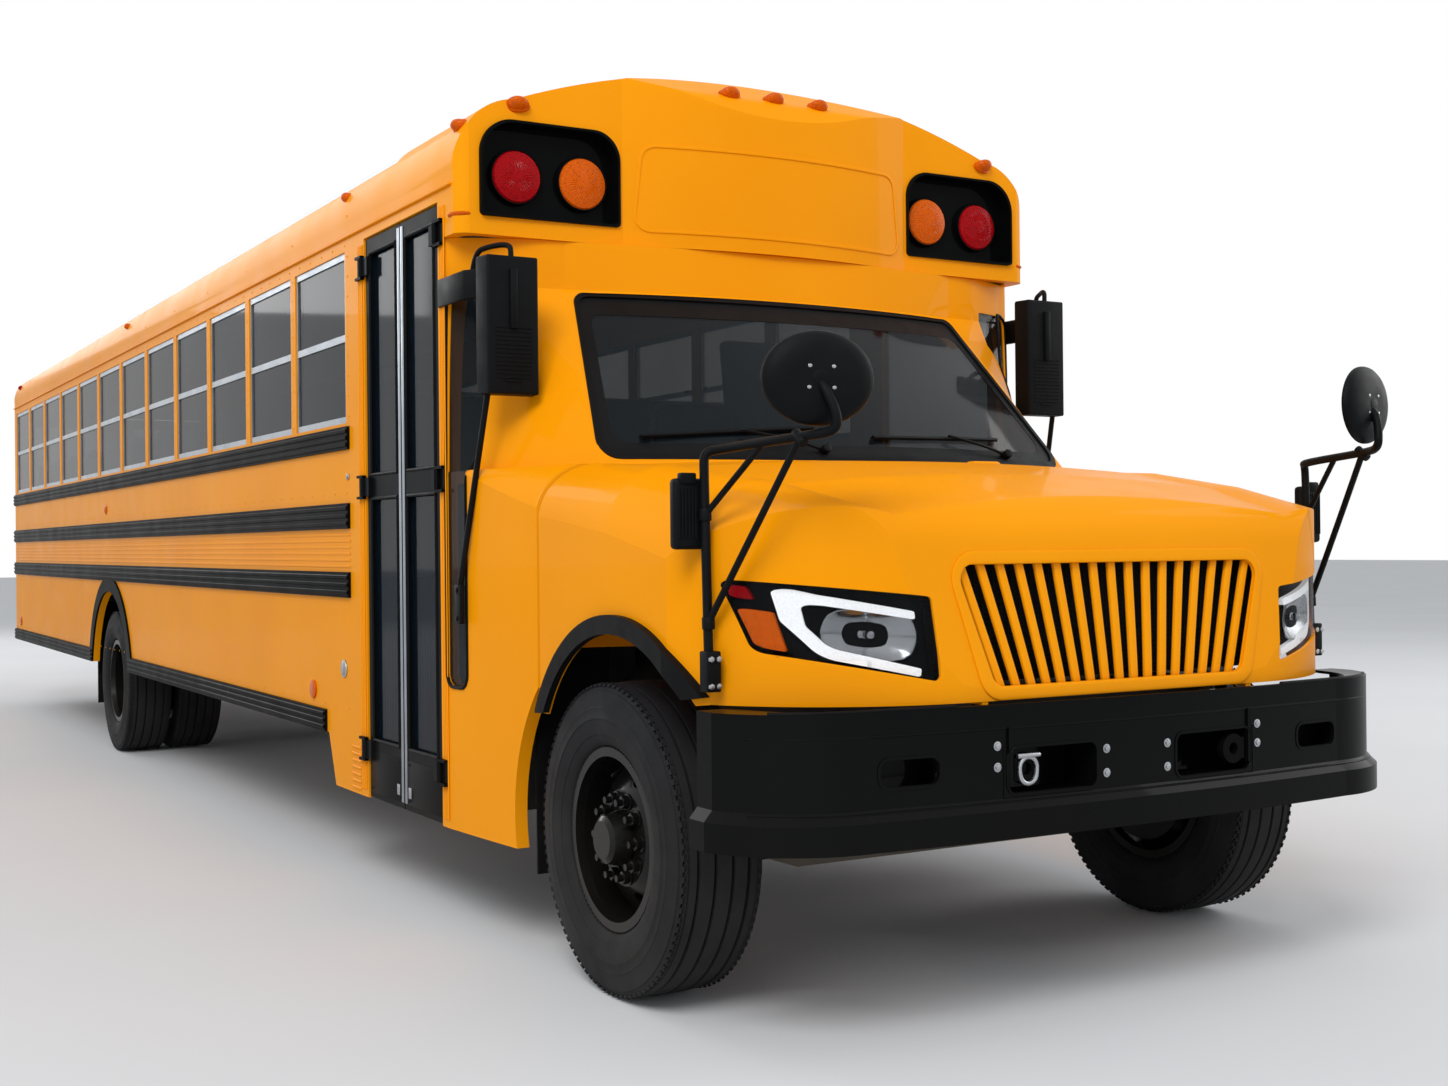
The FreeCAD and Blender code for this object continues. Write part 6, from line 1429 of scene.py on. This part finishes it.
for body, near, far in (("door_front_leaf", 1.512, 1.1385), ("door_rear_leaf", 1.528, 1.9015)):
    sign = -1 if near < far else 1
    low, high = sorted((near, near - sign * SEAM_WIDTH))
    strip = on_leaf(low, high, LEAF_LOW + 0.002, LEAF_HIGH, 0.0040, 0.0025)
    kept(strip, "seam_strip_" + body, brushed_alu, body)
    low, high = sorted((near - sign * 0.024, far + sign * 0.004))
    kick = [on_leaf(low, high, LEAF_LOW, LEAF_LOW + KICK_TALL, 0.0022, 0.002)]
    kick += [barrel((-(LEAF_FACE + 0.0045), at(s), z), (-LEAF_FACE, at(s), z), 0.0045, 10, 0.001)
             for s in (low + 0.018, high - 0.018) for z in (0.375, 0.505)]
    kept(kick, "kick_plate_" + body, door_paint, body)
    gaskets = []
    s0, s1 = (1.184, 1.470) if sign > 0 else (1.570, 1.856)
    for z0, z1 in ((0.560, 1.470), (1.560, 2.396)):
        corners = [(-(LEAF_FACE - 0.0005), at(s), z) for s, z in ((s0, z0), (s1, z0), (s1, z1), (s0, z1))]
        gaskets += [barrel(a, b, 0.0065, 8) for a, b in zip(corners, corners[1:] + corners[:1])]
    kept(gaskets, "door_glass_gaskets_" + body, trim_rubber, body)
    middle = near - sign * CATCH_IN
    catch = on_leaf(middle - 0.012, middle + 0.012, 0.385, 0.425, 0.006, 0.003, 0.0)
    kept(catch, "leaf_catch_" + body, zinc, body)

# ---- Latches, reflectors and rivets ----
REFLECTOR_RADIUS, SIDE_REFLECTOR_Z, REAR_REFLECTOR_Z = 0.038, 0.700, 1.020


def side_stud(side, station, z, sunk, out, radius, edge):
    """Round stud on one side's skin."""
    return barrel((side * (SKIN - sunk), at(station), z), (side * (SKIN + out), at(station), z), radius, 28, edge)


latches = []
for side in (-1, 1):
    for station, z, radius in ((2.120, 1.563, 0.013), (2.190, 0.808, 0.036)):
        latches.append(side_stud(side, station, z, 0.001, 0.005, radius, 0.002))
        latches.append(block((side * (SKIN + 0.004), at(station) - radius * 0.25, z - radius * 0.7),
                             (side * (SKIN + 0.009), at(station) + radius * 0.25, z + radius * 0.7), 0.0015))
kept(latches, "side_latches", zinc, "body")
reflectors = [side_stud(side, station, SIDE_REFLECTOR_Z, 0.0, 0.008, REFLECTOR_RADIUS, 0.003)
              for side in (-1, 1) for station in (2.60, 10.9)]
kept(reflectors, "side_reflectors", amber_lens, "body")

dome = rivet_dome(0.0045, (1, 0, 0))
places = []
for station in BOW_STATIONS:
    for row in range(9):
        places.append((SKIN, at(station), 1.80 + row * 0.078))
for k in range(60):
    for z in (2.470, 0.655, 1.500):
        places.append((SKIN, at(2.14 + k * 0.1525), z))
kept(mirrored(placed(dome, places)), "side_rivets", body_enamel, "body", 60)

# ---- Window sash latches ----
latch_set = []
for side in (-1, 1):
    for k in range(12):
        for offset in (0.07, 0.616):
            station = 2.142 + 0.75 * k + offset
            low, high = (side * 1.196, at(station - 0.022), 2.110), (side * 1.186, at(station + 0.022), 2.126)
            latch_set.append(block(low, high, 0.002, 1))
kept(latch_set, "sash_latches", moulded_black, "body")

# ---- Stop arm ----
face_x, SIGN_Y, SIGN_Z, SIGN_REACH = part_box("stop_sign")[1][0], at(2.222), 1.560, 0.232
turns = [math.pi / 8 + k * math.pi / 4 for k in range(8)]
points = [(math.cos(turn), math.sin(turn)) for turn in turns]
border = path_of([(0.0, u * SIGN_REACH, v * SIGN_REACH) for u, v in points + points[:1]])
bpy.ops.mesh.remove_doubles(threshold=0.0002)
bpy.ops.mesh.edge_face_add()
bpy.ops.mesh.inset(thickness=0.018)
bpy.ops.mesh.delete(type="FACE")
bpy.ops.mesh.select_all(action="SELECT")
bpy.ops.mesh.extrude_region_move(TRANSFORM_OT_translate={"value": (0.0008, 0, 0)})
leave_outward()
border.data.transform(Matrix.Translation((face_x, SIGN_Y, SIGN_Z)))
kept(border, "stop_arm_border", sign_white, "stop_sign", 0)
lights = [barrel((face_x - 0.0005, SIGN_Y, z), (face_x + 0.0015, SIGN_Y, z), 0.046, 32, 0.0006)
          for z in (SIGN_Z - 0.135, SIGN_Z + 0.135)]
kept(lights, "stop_arm_lamps", red_lens, "stop_sign")

# ---- Roof bows and rivet lines ----
bows = []
for station in BOW_STATIONS:
    line = []
    for step in range(17):
        angle = math.radians(14 + step * (152 / 16))
        way = Vector((math.cos(angle), 0, math.sin(angle) * 0.75)).normalized()
        spot = hit("roof", Vector((0, at(station), 2.35)) + way * 4, -way)
        if spot:
            line.append(spot - way * 0.0008)
    if len(line) > 4:
        bows.append(bent_tube(line, 0.0055, 4))
for x in (-0.78, -0.40, 0.40, 0.78):
    spot = hit("roof", (x, at(5.0), 4), (0, 0, -1))
    for first, last in ((1.30, 3.55), (4.45, 8.05), (8.95, 11.10)):
        stops = (first, (first + last) / 2, last)
        bows.append(tube([(spot.x, station, spot.z - 0.001) for station in stops], 0.0035, 4))
kept(bows, "roof_bow_beads", roof_enamel, "body")

# ---- Rear wall ----
def rear_gasket(x0, x1, z0, z1, y):
    """Rubber gasket round a rear opening."""
    outline = round_corners([(x, z, 0.04) for x, z in ((x0, z0), (x1, z0), (x1, z1), (x0, z1))])
    return bent_tube([(p.x, y, p.y) for p in [*outline, outline[0]]], 0.0085, 5, 2)


wall_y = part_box("rear_wall")[1][1]
gaskets = [rear_gasket(side * 0.47, side * 1.07, 1.80, 2.35, wall_y - 0.002) for side in (-1, 1)]
kept(gaskets, "rear_window_gaskets", trim_rubber, "body")
door_y = from_behind("rear_door", 0.0, 1.02).y
gaskets = [rear_gasket(-0.249, 0.249, z0, z1, door_y - 0.002) for z0, z1 in ((1.130, 1.640), (1.790, 2.360))]
kept(gaskets, "rear_door_gaskets", trim_rubber, "emergency_door")
handle = [block((0.205, door_y - 0.001, 1.700), (0.295, door_y + 0.010, 1.760), 0.004),
          barrel((0.250, door_y, 1.730), (0.250, door_y + 0.034, 1.730), 0.013, 20, 0.002),
          bent_tube([(0.250, door_y + 0.030, 1.730), (0.180, door_y + 0.034, 1.732), (0.110, door_y + 0.030, 1.728)],
                    0.009, 6)]
kept(handle, "rear_door_handle", zinc, "emergency_door")
plate_y = from_behind("rear_wall", 0.620, 1.020).y
holder = block((0.465, plate_y - 0.001, 0.940), (0.775, plate_y + 0.004, 1.100), 0.003)
kept(holder, "plate_holder", black_gloss, "body")
blank = block((0.470, plate_y + 0.003, 0.945), (0.770, plate_y + 0.006, 1.095), 0.003)
kept(blank, "blank_plate", white_enamel, "body")
lamp = block((0.590, plate_y - 0.001, 1.112), (0.650, plate_y + 0.020, 1.132), 0.004)
kept(lamp, "plate_lamp", moulded_black, "body")
reflexes = []
for x in (-0.90, 0.90):
    y = from_behind("rear_wall", x, REAR_REFLECTOR_Z).y
    low, high = (x, y - 0.001, REAR_REFLECTOR_Z), (x, y + 0.008, REAR_REFLECTOR_Z)
    reflexes.append(barrel(low, high, REFLECTOR_RADIUS, 28, 0.003))
kept(reflexes, "rear_reflectors", red_lens, "body")
dome = rivet_dome(0.0048, (0, 1, 0))
spots = [(1.150, wall_y - 0.0002, 0.95 + k * 0.062) for k in range(24)]
spots += [(0.45 + k * 0.066, wall_y - 0.0002, 2.440) for k in range(11)]
kept(mirrored(placed(dome, spots)), "rear_rivets", body_enamel, "body", 60)

# ---- Floor the bus stands on ----
def pale_floor():
    """Plain pale ground that keeps the bus's shadow."""
    bpy.ops.object.select_all(action="DESELECT")
    bpy.ops.mesh.primitive_plane_add(size=160.0, location=(0, 0, -0.001))
    ground = bpy.context.object
    ground.name = "studio_floor"
    material, tree, shader, place = finish("studio_floor", "D9DADB", 0.9)
    tint(tree, shader, cloud(tree, place, 0.5, 0.0, 1.0), "DADBDC", "D6D7D9")
    ground.data.materials.append(material)


pale_floor()
